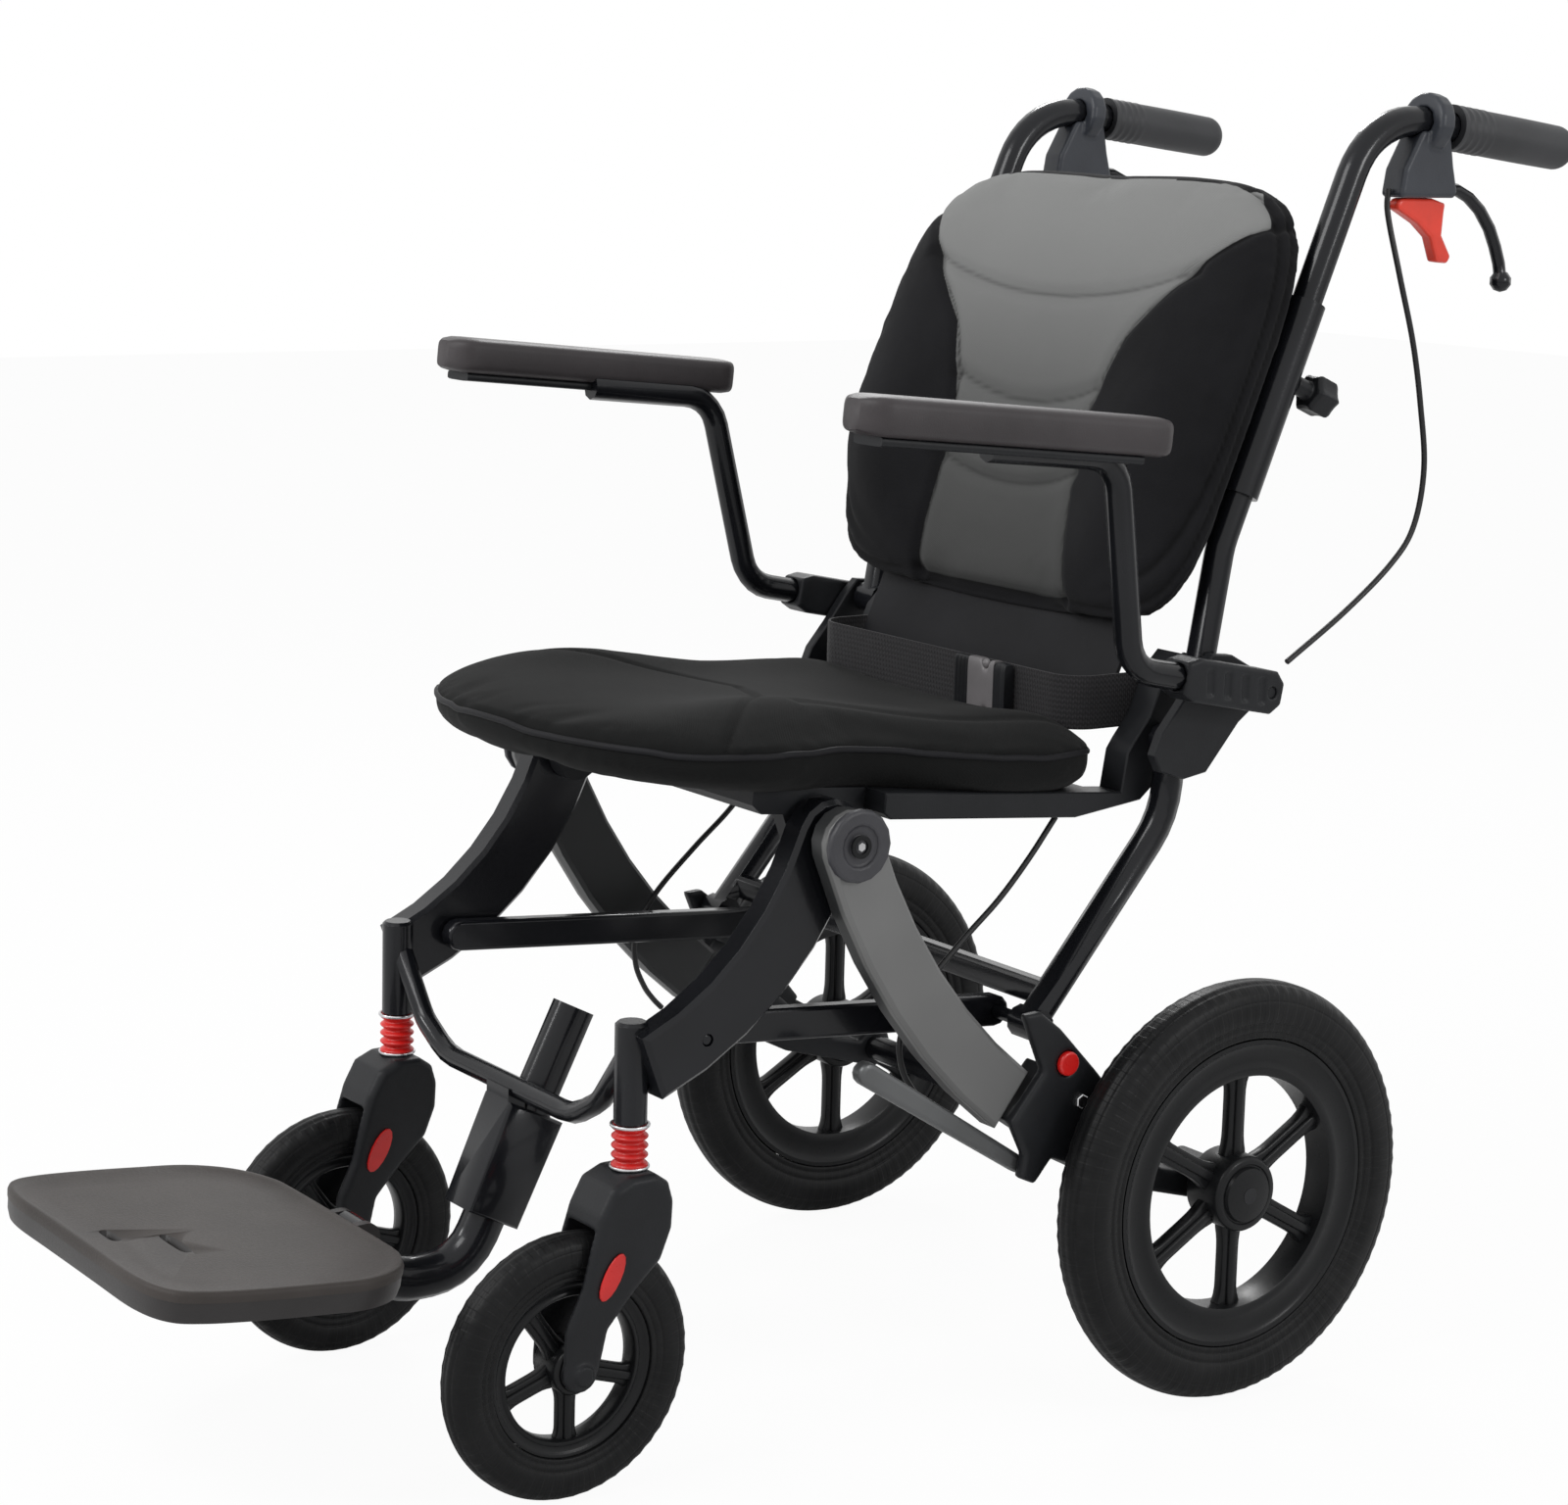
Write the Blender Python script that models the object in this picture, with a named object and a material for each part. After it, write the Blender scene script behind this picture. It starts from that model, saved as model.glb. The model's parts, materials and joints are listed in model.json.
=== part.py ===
"""Folding travel wheelchair, built piece by piece at its real size.

The chair faces -Y, +X is the sitter's left and +Z is up. Shapes are worked out with Y measured
from the rear axle and Z from the floor, and one empty then moves the whole chair so that the
origin is under the middle of its outer box. Side is +1 on the sitter's left and -1 on the right.
"""

import math

import bmesh
import bpy
from mathutils import Matrix, Vector

# Clearances shared by all the pieces.
SEAT_GAP = 0.0003
RUN_GAP = 0.0003
LAYER_GAP = 0.0018

# Rear wheels.
REAR_WHEEL_RADIUS = 0.150
REAR_TYRE_DEPTH = 0.040
REAR_TYRE_WIDTH = 0.036
REAR_TRACK = 0.478
REAR_HUB_RADIUS = 0.027
REAR_HUB_WIDTH = 0.0345
REAR_CAP_DEPTH = 0.004
REAR_RIM_DEPTH = 0.021
REAR_RIM_KEEL = 0.006
HUB_EASE = 0.004
HUB_CHEEK_GAP = 0.00945
REAR_SPOKE_COUNT = 6
REAR_SPOKE_WIDTH = 0.0135
REAR_SPOKE_THICKNESS = 0.013
REAR_AXLE_RADIUS = 0.006
AXLE_TUBE_RADIUS = 0.010

# Casters.
CASTER_RADIUS = 0.089
CASTER_TYRE_DEPTH = 0.030
CASTER_TYRE_WIDTH = 0.027
CASTER_LEG_OFFSET = 0.001
CASTER_Y = -0.446
CASTER_TRAIL = 0.046
CASTER_HUB_RADIUS = 0.0165
CASTER_HUB_WIDTH = 0.030
CASTER_RIM_DEPTH = 0.008
CASTER_RIM_KEEL = 0.002
CASTER_SPOKE_COUNT = 5
CASTER_SPOKE_WIDTH = 0.012
CASTER_BOLT_RADIUS = 0.004
FORK_ARM_THICKNESS = 0.006
FORK_WHEEL_GAP = 0.003
FORK_CROWN_HEIGHT = 0.0325
STEM_RADIUS = 0.005
BUSHING_RADIUS = 0.0125
BUSHING_HEIGHT = 0.0295
BUSHING_GROOVE = 0.0016
HOUSING_RADIUS = 0.011
HOUSING_HEIGHT = 0.067
HOUSING_CAP = 0.008
REFLECTOR_LENGTH = 0.033
REFLECTOR_WIDTH = 0.013
REFLECTOR_THICKNESS = 0.0016

# Main folding pivot and the two leg beams on each side.
PIVOT_Y = -0.307
PIVOT_Z = 0.420
PIVOT_PIN_RADIUS = 0.006
PIVOT_DISC_RADIUS = 0.0245
PIVOT_DISC_THICKNESS = 0.0057
LEG_GAP = 0.003
FRONT_LEG_THICKNESS = 0.023
FRONT_LEG_HALF_WIDTH = 0.0255
FRONT_LEG_FOOT_HALF_WIDTH = 0.0225
FRONT_LEG_BOW = 0.021
FRONT_LEG_FOOT_RISE = 0.039
REAR_LEG_THICKNESS = 0.022
REAR_LEG_HALF_WIDTH = 0.0225
REAR_LEG_BOW = 0.017
REAR_LEG_END_Y = -0.168
REAR_LEG_END_Z = 0.2285

# Fold links, struts and the bar that ties them.
LINK_FRONT_Y = -0.402
LINK_FRONT_Z = 0.297
KNEE_Y = -0.146
KNEE_Z = 0.277
LINK_THICKNESS = 0.013
LINK_HALF_HEIGHT = 0.011
STRUT_RADIUS = 0.0108
STRUT_LEG_OFFSET = 0.035
STRUT_BEND_RADIUS = 0.070
EYE_HALF_WIDTH = 0.0113
CROSS_BAR_HEIGHT = 0.017
CROSS_BAR_DEPTH = 0.011
CROSS_BAR_ALONG = 0.024

# Rear brackets, brake arms and release buttons.
BRACKET_CHEEK_THICKNESS = 0.009
BRACKET_BOSS_RADIUS = 0.0165
LOCK_END_Y = -0.030
LOCK_END_Z = 0.1735
LOCK_BOW = 0.0068
LOCK_CLEARANCE = 0.0028
BUTTON_RADIUS = 0.0085
BUTTON_STAND = 0.003
BUTTON_SINK = 0.0045
BRAKE_ARM_THICKNESS = 0.012
BRAKE_ARM_HALF_WIDTH = 0.0080
BRAKE_ARM_PIVOT_Y = -0.160
BRAKE_ARM_PIVOT_Z = 0.182
BRAKE_ARM_TIP_Y = -0.290
BRAKE_ARM_TIP_Z = 0.264

# Front cross tube, foot sleeve, foot post and footplate.
CROSS_TUBE_RADIUS = 0.0075
CROSS_TUBE_OFFSET = 0.0015
CROSS_TUBE_BELOW_TOP = 0.023
CROSS_TUBE_DROP = 0.058
CROSS_TUBE_FLAT_HALF = 0.085
POST_LEAN_DEG = 26.5
POST_RADIUS = 0.0155
POST_TOP_Y = -0.394
POST_TOP_Z = 0.277
POST_STRAIGHT = 0.172
POST_BEND_RADIUS = 0.042
SLEEVE_WALL = 0.0028
SLEEVE_LENGTH = 0.078
SLEEVE_NOSE = 0.010
PLATE_REAR_Y = -0.573
PLATE_FRONT_Y = -0.763
PLATE_HALF_WIDTH = 0.139
PLATE_THICKNESS = 0.022
PLATE_TILT_DEG = 5.5
PLATE_REAR_TOP_Z = 0.159
PLATE_HINGE_DROP = 0.012
PLATE_HINGE_BEHIND = 0.0115
PLATE_LUG_WIDTH = 0.007
PLATE_LUG_RADIUS = 0.010
POST_END_DROP = 0.036
POST_END_INSET = 0.009
KNUCKLE_HALF_WIDTH = 0.012

# Seat, measured from the main pivot along and square to the seat plane.
SEAT_TILT_DEG = 5.05
PAN_LIFT = 0.0115
PAN_THICKNESS = 0.0176
PAN_LEG_GAP = 0.0015
PAN_FRONT = -0.050
PAN_REAR = 0.228
PAN_EDGE = 0.008
PAN_REAR_SLOPE = 0.030
PAN_EAR_RADIUS = 0.0175
PAN_EAR_HALF_WIDTH = 0.026
SEAT_FRONT = -0.168
SEAT_REAR = 0.240
SEAT_SIDE_HEIGHT = 0.029
SEAT_CROWN = 0.012
SEAT_BOLSTER = 0.010
SEAT_OVERHANG = 0.009
SEAT_WAIST = 0.026
RAIL_START = 0.040
STRUT_PIVOT_ALONG = 0.2721
STRUT_PIVOT_UP = 0.0672
BACK_PIVOT_ALONG = 0.2900
BACK_PIVOT_UP = 0.1180
ARM_PIVOT_ALONG = 0.3155
ARM_PIVOT_UP = 0.1090
BRACKET_PLATE_THICKNESS = 0.009
HINGE_PIN_RADIUS = 0.004
BELT_WIDTH = 0.038
BELT_THICKNESS = 0.0024
BELT_ALONG = 0.211
BELT_UP = 0.086
BUCKLE_WIDTH = 0.058
BUCKLE_HEIGHT = 0.042
BUCKLE_THICKNESS = 0.010
BUCKLE_X = 0.062
GRID_STRETCH = 0.82

# Armrests.
ARM_PAD_OFFSET = 0.015
ARM_PAD_WIDTH = 0.046
ARM_PAD_LENGTH = 0.252
ARM_PAD_THICKNESS = 0.019
ARM_PAD_FRONT_Y = -0.357
ARM_PAD_FRONT_TOP_Z = 0.718
ARM_PAD_SLOPE_DEG = 5.2
ARM_TRAY_THICKNESS = 0.006
ARM_TUBE_RADIUS = 0.0095
ARM_TUBE_IN_BRACKET = 0.0139
ARM_TUBE_SPLAY = 0.0125
ARM_BRACKET_HEIGHT = 0.030
ARM_BRACKET_WIDTH = 0.026
ARM_BRACKET_TILT_DEG = 11.0
ARM_BRACKET_MOUTH = -0.080
ARM_TUBE_INSERT = 0.010

# Backrest, measured from its hinge along and square to the back.
BACK_LEAN_DEG = 22.6
POST_AXIS_FORWARD = 0.0193
BACK_TUBE_RADIUS = 0.0105
BACK_SLEEVE_RADIUS = 0.014
BACK_SLEEVE_START = 0.122
BACK_SLEEVE_LENGTH = 0.143
BACK_BAR_RADIUS = 0.008
BACK_CUSHION_LOW = 0.002
BACK_CUSHION_HIGH = 0.350
BACK_CUSHION_OVERHANG = 0.024
BACK_FRONT_TAPER = 0.06
BACK_EDGE_THICKNESS = 0.034
BACK_CROWN = 0.016
BACK_LOW_CORNER = 0.6
LUMBAR_LOW = -0.050
LUMBAR_HIGH = 0.050
LUMBAR_THICKNESS = 0.0093
LUMBAR_EASE = 0.0025
LUMBAR_RAIL_GAP = 0.0055
LUMBAR_SINK = 0.0014

# Push handles, levers, catches and knobs.
HANDLE_RADIUS = 0.011
HANDLE_INSERT = 0.060
HANDLE_STRAIGHT = 0.142
HANDLE_BEND_RADIUS = 0.062
HANDLE_DROOP_DEG = 6.65
HANDLE_REACH = 0.192
HANDLE_SHORT_OF_GRIP = 0.004
HANDLE_TRAVEL = 0.065
GRIP_RADIUS = 0.0165
GRIP_LENGTH = 0.118
GRIP_CAP = 0.002
CLAMP_GRIP_SPACING = 0.0215
CLAMP_RING_WIDTH = 0.014
CLAMP_RING_RADIUS = 0.0215
CLAMP_HALF_WIDTH = 0.011
CLAMP_SLOT_HALF = 0.0062
CLAMP_HEIGHT = 0.052
LEVER_RADIUS = 0.0046
LEVER_BALL_RADIUS = 0.008
CATCH_HALF_WIDTH = 0.0055
KNOB_ALONG = 0.092
KNOB_RADIUS = 0.0150
KNOB_LENGTH = 0.022
KNOB_NECK = 0.014
KNOB_LOBES = 6

# Brake cables.
CABLE_RADIUS = 0.0022
BRAKE_CABLE_OFFSET = 0.010
LOWER_CABLE_LEG_GAP = 0.015

COLOURS = {
    "frame_black": ((0.030, 0.031, 0.035), 0.34, 0.55),
    "leg_grey": ((0.155, 0.168, 0.162), 0.42, 0.60),
    "plastic_black": ((0.026, 0.026, 0.028), 0.50, 0.0),
    "plastic_grey": ((0.20, 0.20, 0.205), 0.45, 0.0),
    "tyre_black": ((0.020, 0.020, 0.021), 0.78, 0.0),
    "pad_brown": ((0.052, 0.047, 0.047), 0.55, 0.0),
    "plate_brown": ((0.085, 0.080, 0.078), 0.62, 0.0),
    "signal_red": ((0.60, 0.020, 0.014), 0.38, 0.0),
    "catch_red": ((0.78, 0.055, 0.030), 0.40, 0.0),
    "fabric_black": ((0.016, 0.016, 0.017), 0.90, 0.0),
    "fabric_grey": ((0.115, 0.118, 0.118), 0.88, 0.0),
    "webbing": ((0.018, 0.018, 0.019), 0.85, 0.0),
    "arm_grey": ((0.26, 0.27, 0.27), 0.45, 0.70),
    "cable_black": ((0.012, 0.012, 0.012), 0.50, 0.0),
}


def clear_scene():
    for item in list(bpy.data.objects):
        bpy.data.objects.remove(item, do_unlink=True)


def material(name):
    """One Principled material for each object, with the finish that COLOURS gives."""
    colour, roughness, metallic = COLOURS[name]
    made = bpy.data.materials.new(name)
    made.use_nodes = True
    shader = made.node_tree.nodes["Principled BSDF"]
    shader.inputs["Base Color"].default_value = (*colour, 1.0)
    shader.inputs["Roughness"].default_value = roughness
    shader.inputs["Metallic"].default_value = metallic
    made.diffuse_color = (*colour, 1.0)
    return made


def finish_mesh(name, bm, finish="frame_black", smooth_deg=35.0):
    """Close a bmesh into an object with outward faces, smooth where it is round."""
    bmesh.ops.remove_doubles(bm, verts=bm.verts, dist=0.000002)
    bmesh.ops.recalc_face_normals(bm, faces=bm.faces)
    if bm.calc_volume(signed=True) < 0:
        bmesh.ops.reverse_faces(bm, faces=bm.faces[:])
    mesh = bpy.data.meshes.new(name)
    bm.to_mesh(mesh)
    bm.free()
    mesh.shade_smooth()
    mesh.set_sharp_from_angle(angle=math.radians(smooth_deg))
    mesh.materials.append(material(finish))
    made = bpy.data.objects.new(name, mesh)
    bpy.context.scene.collection.objects.link(made)
    return made


def baked(target, smooth_deg=35.0):
    """Replace an object's mesh by the one its modifiers give."""
    graph = bpy.context.evaluated_depsgraph_get()
    mesh = bpy.data.meshes.new_from_object(target.evaluated_get(graph))
    target.modifiers.clear()
    target.data = mesh
    mesh.shade_smooth()
    mesh.set_sharp_from_angle(angle=math.radians(smooth_deg))
    return target


def combine(target, operation, others):
    """Boolean each of the others into or out of the target, and remove them."""
    for other in others:
        step = target.modifiers.new(operation.lower(), "BOOLEAN")
        step.operation = operation
        step.solver = "EXACT"
        step.object = other
    baked(target)
    for other in others:
        bpy.data.objects.remove(other, do_unlink=True)
    return target


def join_solids(target, *others):
    return combine(target, "UNION", others)


def cut_away(target, *others):
    return combine(target, "DIFFERENCE", others)


def rename(target, name):
    target.name = name
    target.data.name = name
    return target


def prism(name, outline, x_low, x_high, finish="frame_black", edge=0.0):
    """Extrude an outline of (y, z) points from x_low to x_high, with its long edges eased."""
    bm = bmesh.new()
    ring = [bm.verts.new((x_low, y, z)) for y, z in outline]
    face = bm.faces.new(ring)
    made = bmesh.ops.extrude_face_region(bm, geom=[face])
    moved = [item for item in made["geom"] if isinstance(item, bmesh.types.BMVert)]
    bmesh.ops.translate(bm, verts=moved, vec=(x_high - x_low, 0, 0))
    bmesh.ops.recalc_face_normals(bm, faces=bm.faces)
    if edge > 0:
        rims = [item for item in bm.edges if abs(item.verts[0].co.x - item.verts[1].co.x) < 1e-7]
        bmesh.ops.bevel(bm, geom=rims, offset=edge, segments=1, profile=0.5, affect="EDGES",
                        clamp_overlap=True)
    return finish_mesh(name, bm, finish)


def block(name, centre, size, finish="frame_black", edge=0.0):
    """A box with its middle at centre, and eased edges."""
    bm = bmesh.new()
    bmesh.ops.create_cube(bm, size=1.0)
    bmesh.ops.scale(bm, vec=size, verts=bm.verts)
    if edge > 0:
        bmesh.ops.bevel(bm, geom=bm.edges[:], offset=edge, segments=1, profile=0.5, affect="EDGES")
    bmesh.ops.translate(bm, verts=bm.verts, vec=centre)
    return finish_mesh(name, bm, finish)


def turned(name, profile, segments, centre, direction=(1, 0, 0), finish="frame_black"):
    """Spin a closed profile of (along, radius) points about a line through centre."""
    bm = bmesh.new()
    ring = [bm.verts.new((along, 0.0, radius)) for along, radius in profile]
    loop = [bm.edges.new((ring[i], ring[(i + 1) % len(ring)])) for i in range(len(ring))
            if profile[i][1] > 1e-9 or profile[(i + 1) % len(ring)][1] > 1e-9]
    bmesh.ops.spin(bm, geom=ring + loop, axis=(1, 0, 0), cent=(0, 0, 0), steps=segments,
                   angle=2 * math.pi, use_merge=True)
    bmesh.ops.remove_doubles(bm, verts=bm.verts, dist=0.000002)
    turn = Vector((1, 0, 0)).rotation_difference(Vector(direction).normalized())
    bmesh.ops.transform(bm, matrix=Matrix.Translation(centre) @ turn.to_matrix().to_4x4(),
                        verts=bm.verts)
    return finish_mesh(name, bm, finish)


def rod(name, start, end, radius, segments=16, finish="frame_black"):
    """A plain round bar from start to end."""
    span = Vector(end) - Vector(start)
    profile = [(0, 0), (0, radius), (span.length, radius), (span.length, 0)]
    return turned(name, profile, segments, start, span, finish)


def ring_profile(low, high, inner, outer, ease=0.0):
    """The profile of a ring with eased outer corners."""
    return [(low, inner), (low, outer - ease), (low + ease, outer), (high - ease, outer),
            (high, outer - ease), (high, inner)] if ease > 0 else [
            (low, inner), (low, outer), (high, outer), (high, inner)]


def rounded_route(corners, radii, step_deg=12.0):
    """Points along straight runs whose corners are arcs of the given radii."""
    corners = [Vector(corner) for corner in corners]
    route = [corners[0]]
    for before, corner, after, radius in zip(corners, corners[1:], corners[2:], radii):
        to_back = (before - corner).normalized()
        to_front = (after - corner).normalized()
        turn = math.pi - to_back.angle(to_front)
        if turn < math.radians(1.0):
            route.append(corner)
            continue
        reach = radius * math.tan(turn / 2)
        middle = (to_back + to_front).normalized()
        centre = corner + middle * (radius / math.cos(turn / 2))
        first = corner + to_back * reach - centre
        last = corner + to_front * reach - centre
        steps = max(2, math.ceil(math.degrees(turn) / step_deg))
        for index in range(steps + 1):
            share = index / steps
            route.append(centre + (first * math.sin((1 - share) * turn)
                                   + last * math.sin(share * turn)) / math.sin(turn))
    route.append(corners[-1])
    return route


def smooth_route(points, pieces):
    """Points on a Catmull-Rom curve through a few hand-placed points."""
    points = [Vector(point) for point in points]
    padded = [points[0] * 2 - points[1]] + points + [points[-1] * 2 - points[-2]]
    route = []
    for index in range(len(points) - 1):
        p0, p1, p2, p3 = padded[index:index + 4]
        for part in range(pieces):
            t = part / pieces
            route.append(0.5 * ((2 * p1) + (p2 - p0) * t + (2 * p0 - 5 * p1 + 4 * p2 - p3) * t ** 2
                                + (3 * p1 - p0 - 3 * p2 + p3) * t ** 3))
    route.append(points[-1])
    return route


def bent_tube(name, route, radius, sides=2, finish="frame_black"):
    """A round bar along a route, made by a curve with a bevel and filled caps."""
    curve = bpy.data.curves.new(name, "CURVE")
    curve.dimensions = "3D"
    curve.bevel_depth = radius
    curve.bevel_resolution = sides
    curve.use_fill_caps = True
    spline = curve.splines.new("POLY")
    spline.points.add(len(route) - 1)
    for point, place in zip(spline.points, route):
        point.co = (*place, 1.0)
    drawn = bpy.data.objects.new(name + "_curve", curve)
    bpy.context.scene.collection.objects.link(drawn)
    graph = bpy.context.evaluated_depsgraph_get()
    mesh = bpy.data.meshes.new_from_object(drawn.evaluated_get(graph))
    bm = bmesh.new()
    bm.from_mesh(mesh)
    bpy.data.objects.remove(drawn, do_unlink=True)
    return finish_mesh(name, bm, finish)


def arc_points(centre, radius, start_deg, end_deg, steps):
    """Points of an arc in the (y, z) plane, angles from +Y towards +Z."""
    return [(centre[0] + radius * math.cos(math.radians(start_deg + (end_deg - start_deg) * i / steps)),
             centre[1] + radius * math.sin(math.radians(start_deg + (end_deg - start_deg) * i / steps)))
            for i in range(steps + 1)]


def bowed_beam(start, end, bow, half_width, end_half_width, steps=6, cap_steps=7):
    """Outline of a flat beam whose middle line is an arc, with a round end about start.

    A positive bow bulges to the right of the way from start to end.
    """
    start = Vector(start)
    end = Vector(end)
    chord = end - start
    along = chord.normalized()
    right = Vector((along.y, -along.x))
    radius = (chord.length / 2) ** 2 / (2 * abs(bow)) + abs(bow) / 2
    side = 1.0 if bow > 0 else -1.0
    centre = (start + end) / 2 - right * side * (radius - abs(bow))
    half_angle = math.asin(chord.length / (2 * radius))
    line = []
    for index in range(steps + 1):
        angle = half_angle * (2 * index / steps - 1)
        outward = right * side * math.cos(angle) + along * math.sin(angle)
        line.append((centre + outward * radius, outward * side))
    first_normal = line[0][1]
    back = -Vector((-first_normal.y, first_normal.x))
    cap = []
    for index in range(1, cap_steps):
        angle = math.pi * index / cap_steps
        cap.append(start + first_normal * half_width * -math.cos(angle)
                   + back * half_width * math.sin(angle) * (1 if back.dot(along) < 0 else -1))
    widths = [half_width + (end_half_width - half_width) * index / steps for index in range(steps + 1)]
    left_edge = [point - normal * width for (point, normal), width in zip(line, widths)]
    right_edge = [point + normal * width for (point, normal), width in zip(line, widths)]
    return [tuple(point) for point in reversed(left_edge)] + [tuple(point) for point in cap] + [
        tuple(point) for point in right_edge]


def dome(centre, radius, start_deg, end_deg, steps, outline):
    """Add an arc's points to an outline list and return it."""
    outline.extend(arc_points(centre, radius, start_deg, end_deg, steps))
    return outline


def mirrored(side, low, high):
    """A span of x on one side, lower end first."""
    return (low, high) if side > 0 else (-high, -low)


def side_name(stem, side):
    return f"{stem}_{'left' if side > 0 else 'right'}"


def seat_point(along, up):
    """(y, z) of a place measured from the main pivot along and square to the seat."""
    tilt = math.radians(SEAT_TILT_DEG)
    return (PIVOT_Y + along * math.cos(tilt) + up * math.sin(tilt),
            PIVOT_Z - along * math.sin(tilt) + up * math.cos(tilt))


def back_point(along, forward):
    """(y, z) of a place measured from the back hinge up the back and forward of it."""
    lean = math.radians(BACK_LEAN_DEG)
    hinge_y, hinge_z = seat_point(BACK_PIVOT_ALONG, BACK_PIVOT_UP)
    return (hinge_y + along * math.sin(lean) - forward * math.cos(lean),
            hinge_z + along * math.cos(lean) + forward * math.sin(lean))


# Values that follow from the driving sizes.
PIVOT = (PIVOT_Y, PIVOT_Z)
AXLE = (0.0, REAR_WHEEL_RADIUS)
WHEEL_X = REAR_TRACK / 2
CHEEK_OUTER_X = WHEEL_X - REAR_HUB_WIDTH / 2 - HUB_CHEEK_GAP
CHEEK_INNER_X = CHEEK_OUTER_X - BRACKET_CHEEK_THICKNESS
REAR_LEG_OUTER_X = CHEEK_INNER_X - SEAT_GAP
REAR_LEG_INNER_X = REAR_LEG_OUTER_X - REAR_LEG_THICKNESS
FRONT_LEG_OUTER_X = REAR_LEG_INNER_X - LEG_GAP
FRONT_LEG_INNER_X = FRONT_LEG_OUTER_X - FRONT_LEG_THICKNESS
CASTER_X = FRONT_LEG_INNER_X + CASTER_LEG_OFFSET
STRUT_SIDE_X = FRONT_LEG_INNER_X + STRUT_LEG_OFFSET
PAN_HALF_WIDTH = FRONT_LEG_INNER_X - PAN_LEG_GAP
SEAT_HALF_WIDTH = STRUT_SIDE_X + SEAT_OVERHANG
BACK_CUSHION_HALF_WIDTH = STRUT_SIDE_X + BACK_CUSHION_OVERHANG
LOWER_CABLE_X = REAR_LEG_INNER_X - LOWER_CABLE_LEG_GAP
CASTER_AXLE = (CASTER_Y - CASTER_TRAIL, CASTER_RADIUS)
CROSS_TUBE_Y = CASTER_Y + CROSS_TUBE_OFFSET
FORK_SLOT_TOP = 2 * CASTER_RADIUS + FORK_WHEEL_GAP
CROWN_TOP = FORK_SLOT_TOP + FORK_CROWN_HEIGHT
BUSHING_LOW = CROWN_TOP + SEAT_GAP
HOUSING_LOW = BUSHING_LOW + BUSHING_HEIGHT + SEAT_GAP
HOUSING_TOP = HOUSING_LOW + HOUSING_HEIGHT
CROSS_TUBE_LOW = HOUSING_TOP - CROSS_TUBE_BELOW_TOP - CROSS_TUBE_DROP
LINK_OUTER_X = FRONT_LEG_INNER_X - LAYER_GAP
LINK_INNER_X = LINK_OUTER_X - LINK_THICKNESS
SEAT_CHEEK_INNER_X = STRUT_SIDE_X + EYE_HALF_WIDTH + LAYER_GAP
SEAT_CHEEK_OUTER_X = SEAT_CHEEK_INNER_X + BRACKET_PLATE_THICKNESS
RAIL_INNER_X = PAN_HALF_WIDTH - 0.001
RAIL_OUTER_X = STRUT_SIDE_X - EYE_HALF_WIDTH - LAYER_GAP
SEAT_BOTTOM = PAN_LIFT + PAN_THICKNESS + SEAT_GAP
STRUT_PIVOT = seat_point(STRUT_PIVOT_ALONG, STRUT_PIVOT_UP)
BACK_PIVOT = seat_point(BACK_PIVOT_ALONG, BACK_PIVOT_UP)
ARM_PIVOT = seat_point(ARM_PIVOT_ALONG, ARM_PIVOT_UP)
KNEE = (KNEE_Y, KNEE_Z)
LINK_FRONT = (LINK_FRONT_Y, LINK_FRONT_Z)
ARM_BRACKET_INNER_X = SEAT_CHEEK_OUTER_X + 0.0015
ARM_BRACKET_OUTER_X = ARM_BRACKET_INNER_X + ARM_BRACKET_WIDTH
ARM_TUBE_LOW_X = ARM_BRACKET_INNER_X + ARM_TUBE_IN_BRACKET
ARM_TUBE_HIGH_X = ARM_TUBE_LOW_X + ARM_TUBE_SPLAY
ARM_PAD_X = ARM_TUBE_HIGH_X + ARM_PAD_OFFSET
GRIP_END = HANDLE_REACH + GRIP_CAP
CLAMP_ALONG = GRIP_END - GRIP_LENGTH - CLAMP_GRIP_SPACING
HANDLE_END = HANDLE_REACH - HANDLE_SHORT_OF_GRIP


def wheel_ring(name, centre, radius, depth, width, segments, finish):
    """A tyre: a ring with a rounded tread and flat-sided walls."""
    inner = radius - depth
    half = width / 2
    profile = [(-0.66 * half, inner), (-half, inner + 0.45 * depth),
               (-0.80 * half, radius - 0.15 * depth), (-0.38 * half, radius),
               (0.38 * half, radius), (0.80 * half, radius - 0.15 * depth),
               (half, inner + 0.45 * depth), (0.66 * half, inner)]
    return turned(name, profile, segments, centre, finish=finish)


def spoke(name, centre, inner, outer, angle_deg, width, thickness, taper):
    """One straight spoke, wider at the hub, lying in the wheel's plane."""
    bm = bmesh.new()
    half = thickness / 2
    corners = [(inner, -width * taper / 2), (outer, -width / 2), (outer, width / 2),
               (inner, width * taper / 2)]
    low = [bm.verts.new((-half, across, out)) for out, across in corners]
    high = [bm.verts.new((half, across, out)) for out, across in corners]
    bm.faces.new(low)
    bm.faces.new(list(reversed(high)))
    for index in range(4):
        after = (index + 1) % 4
        bm.faces.new((low[index], high[index], high[after], low[after]))
    turn = Matrix.Rotation(math.radians(angle_deg), 4, "X")
    bmesh.ops.transform(bm, matrix=Matrix.Translation(centre) @ turn, verts=bm.verts)
    return finish_mesh(name, bm)


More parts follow.
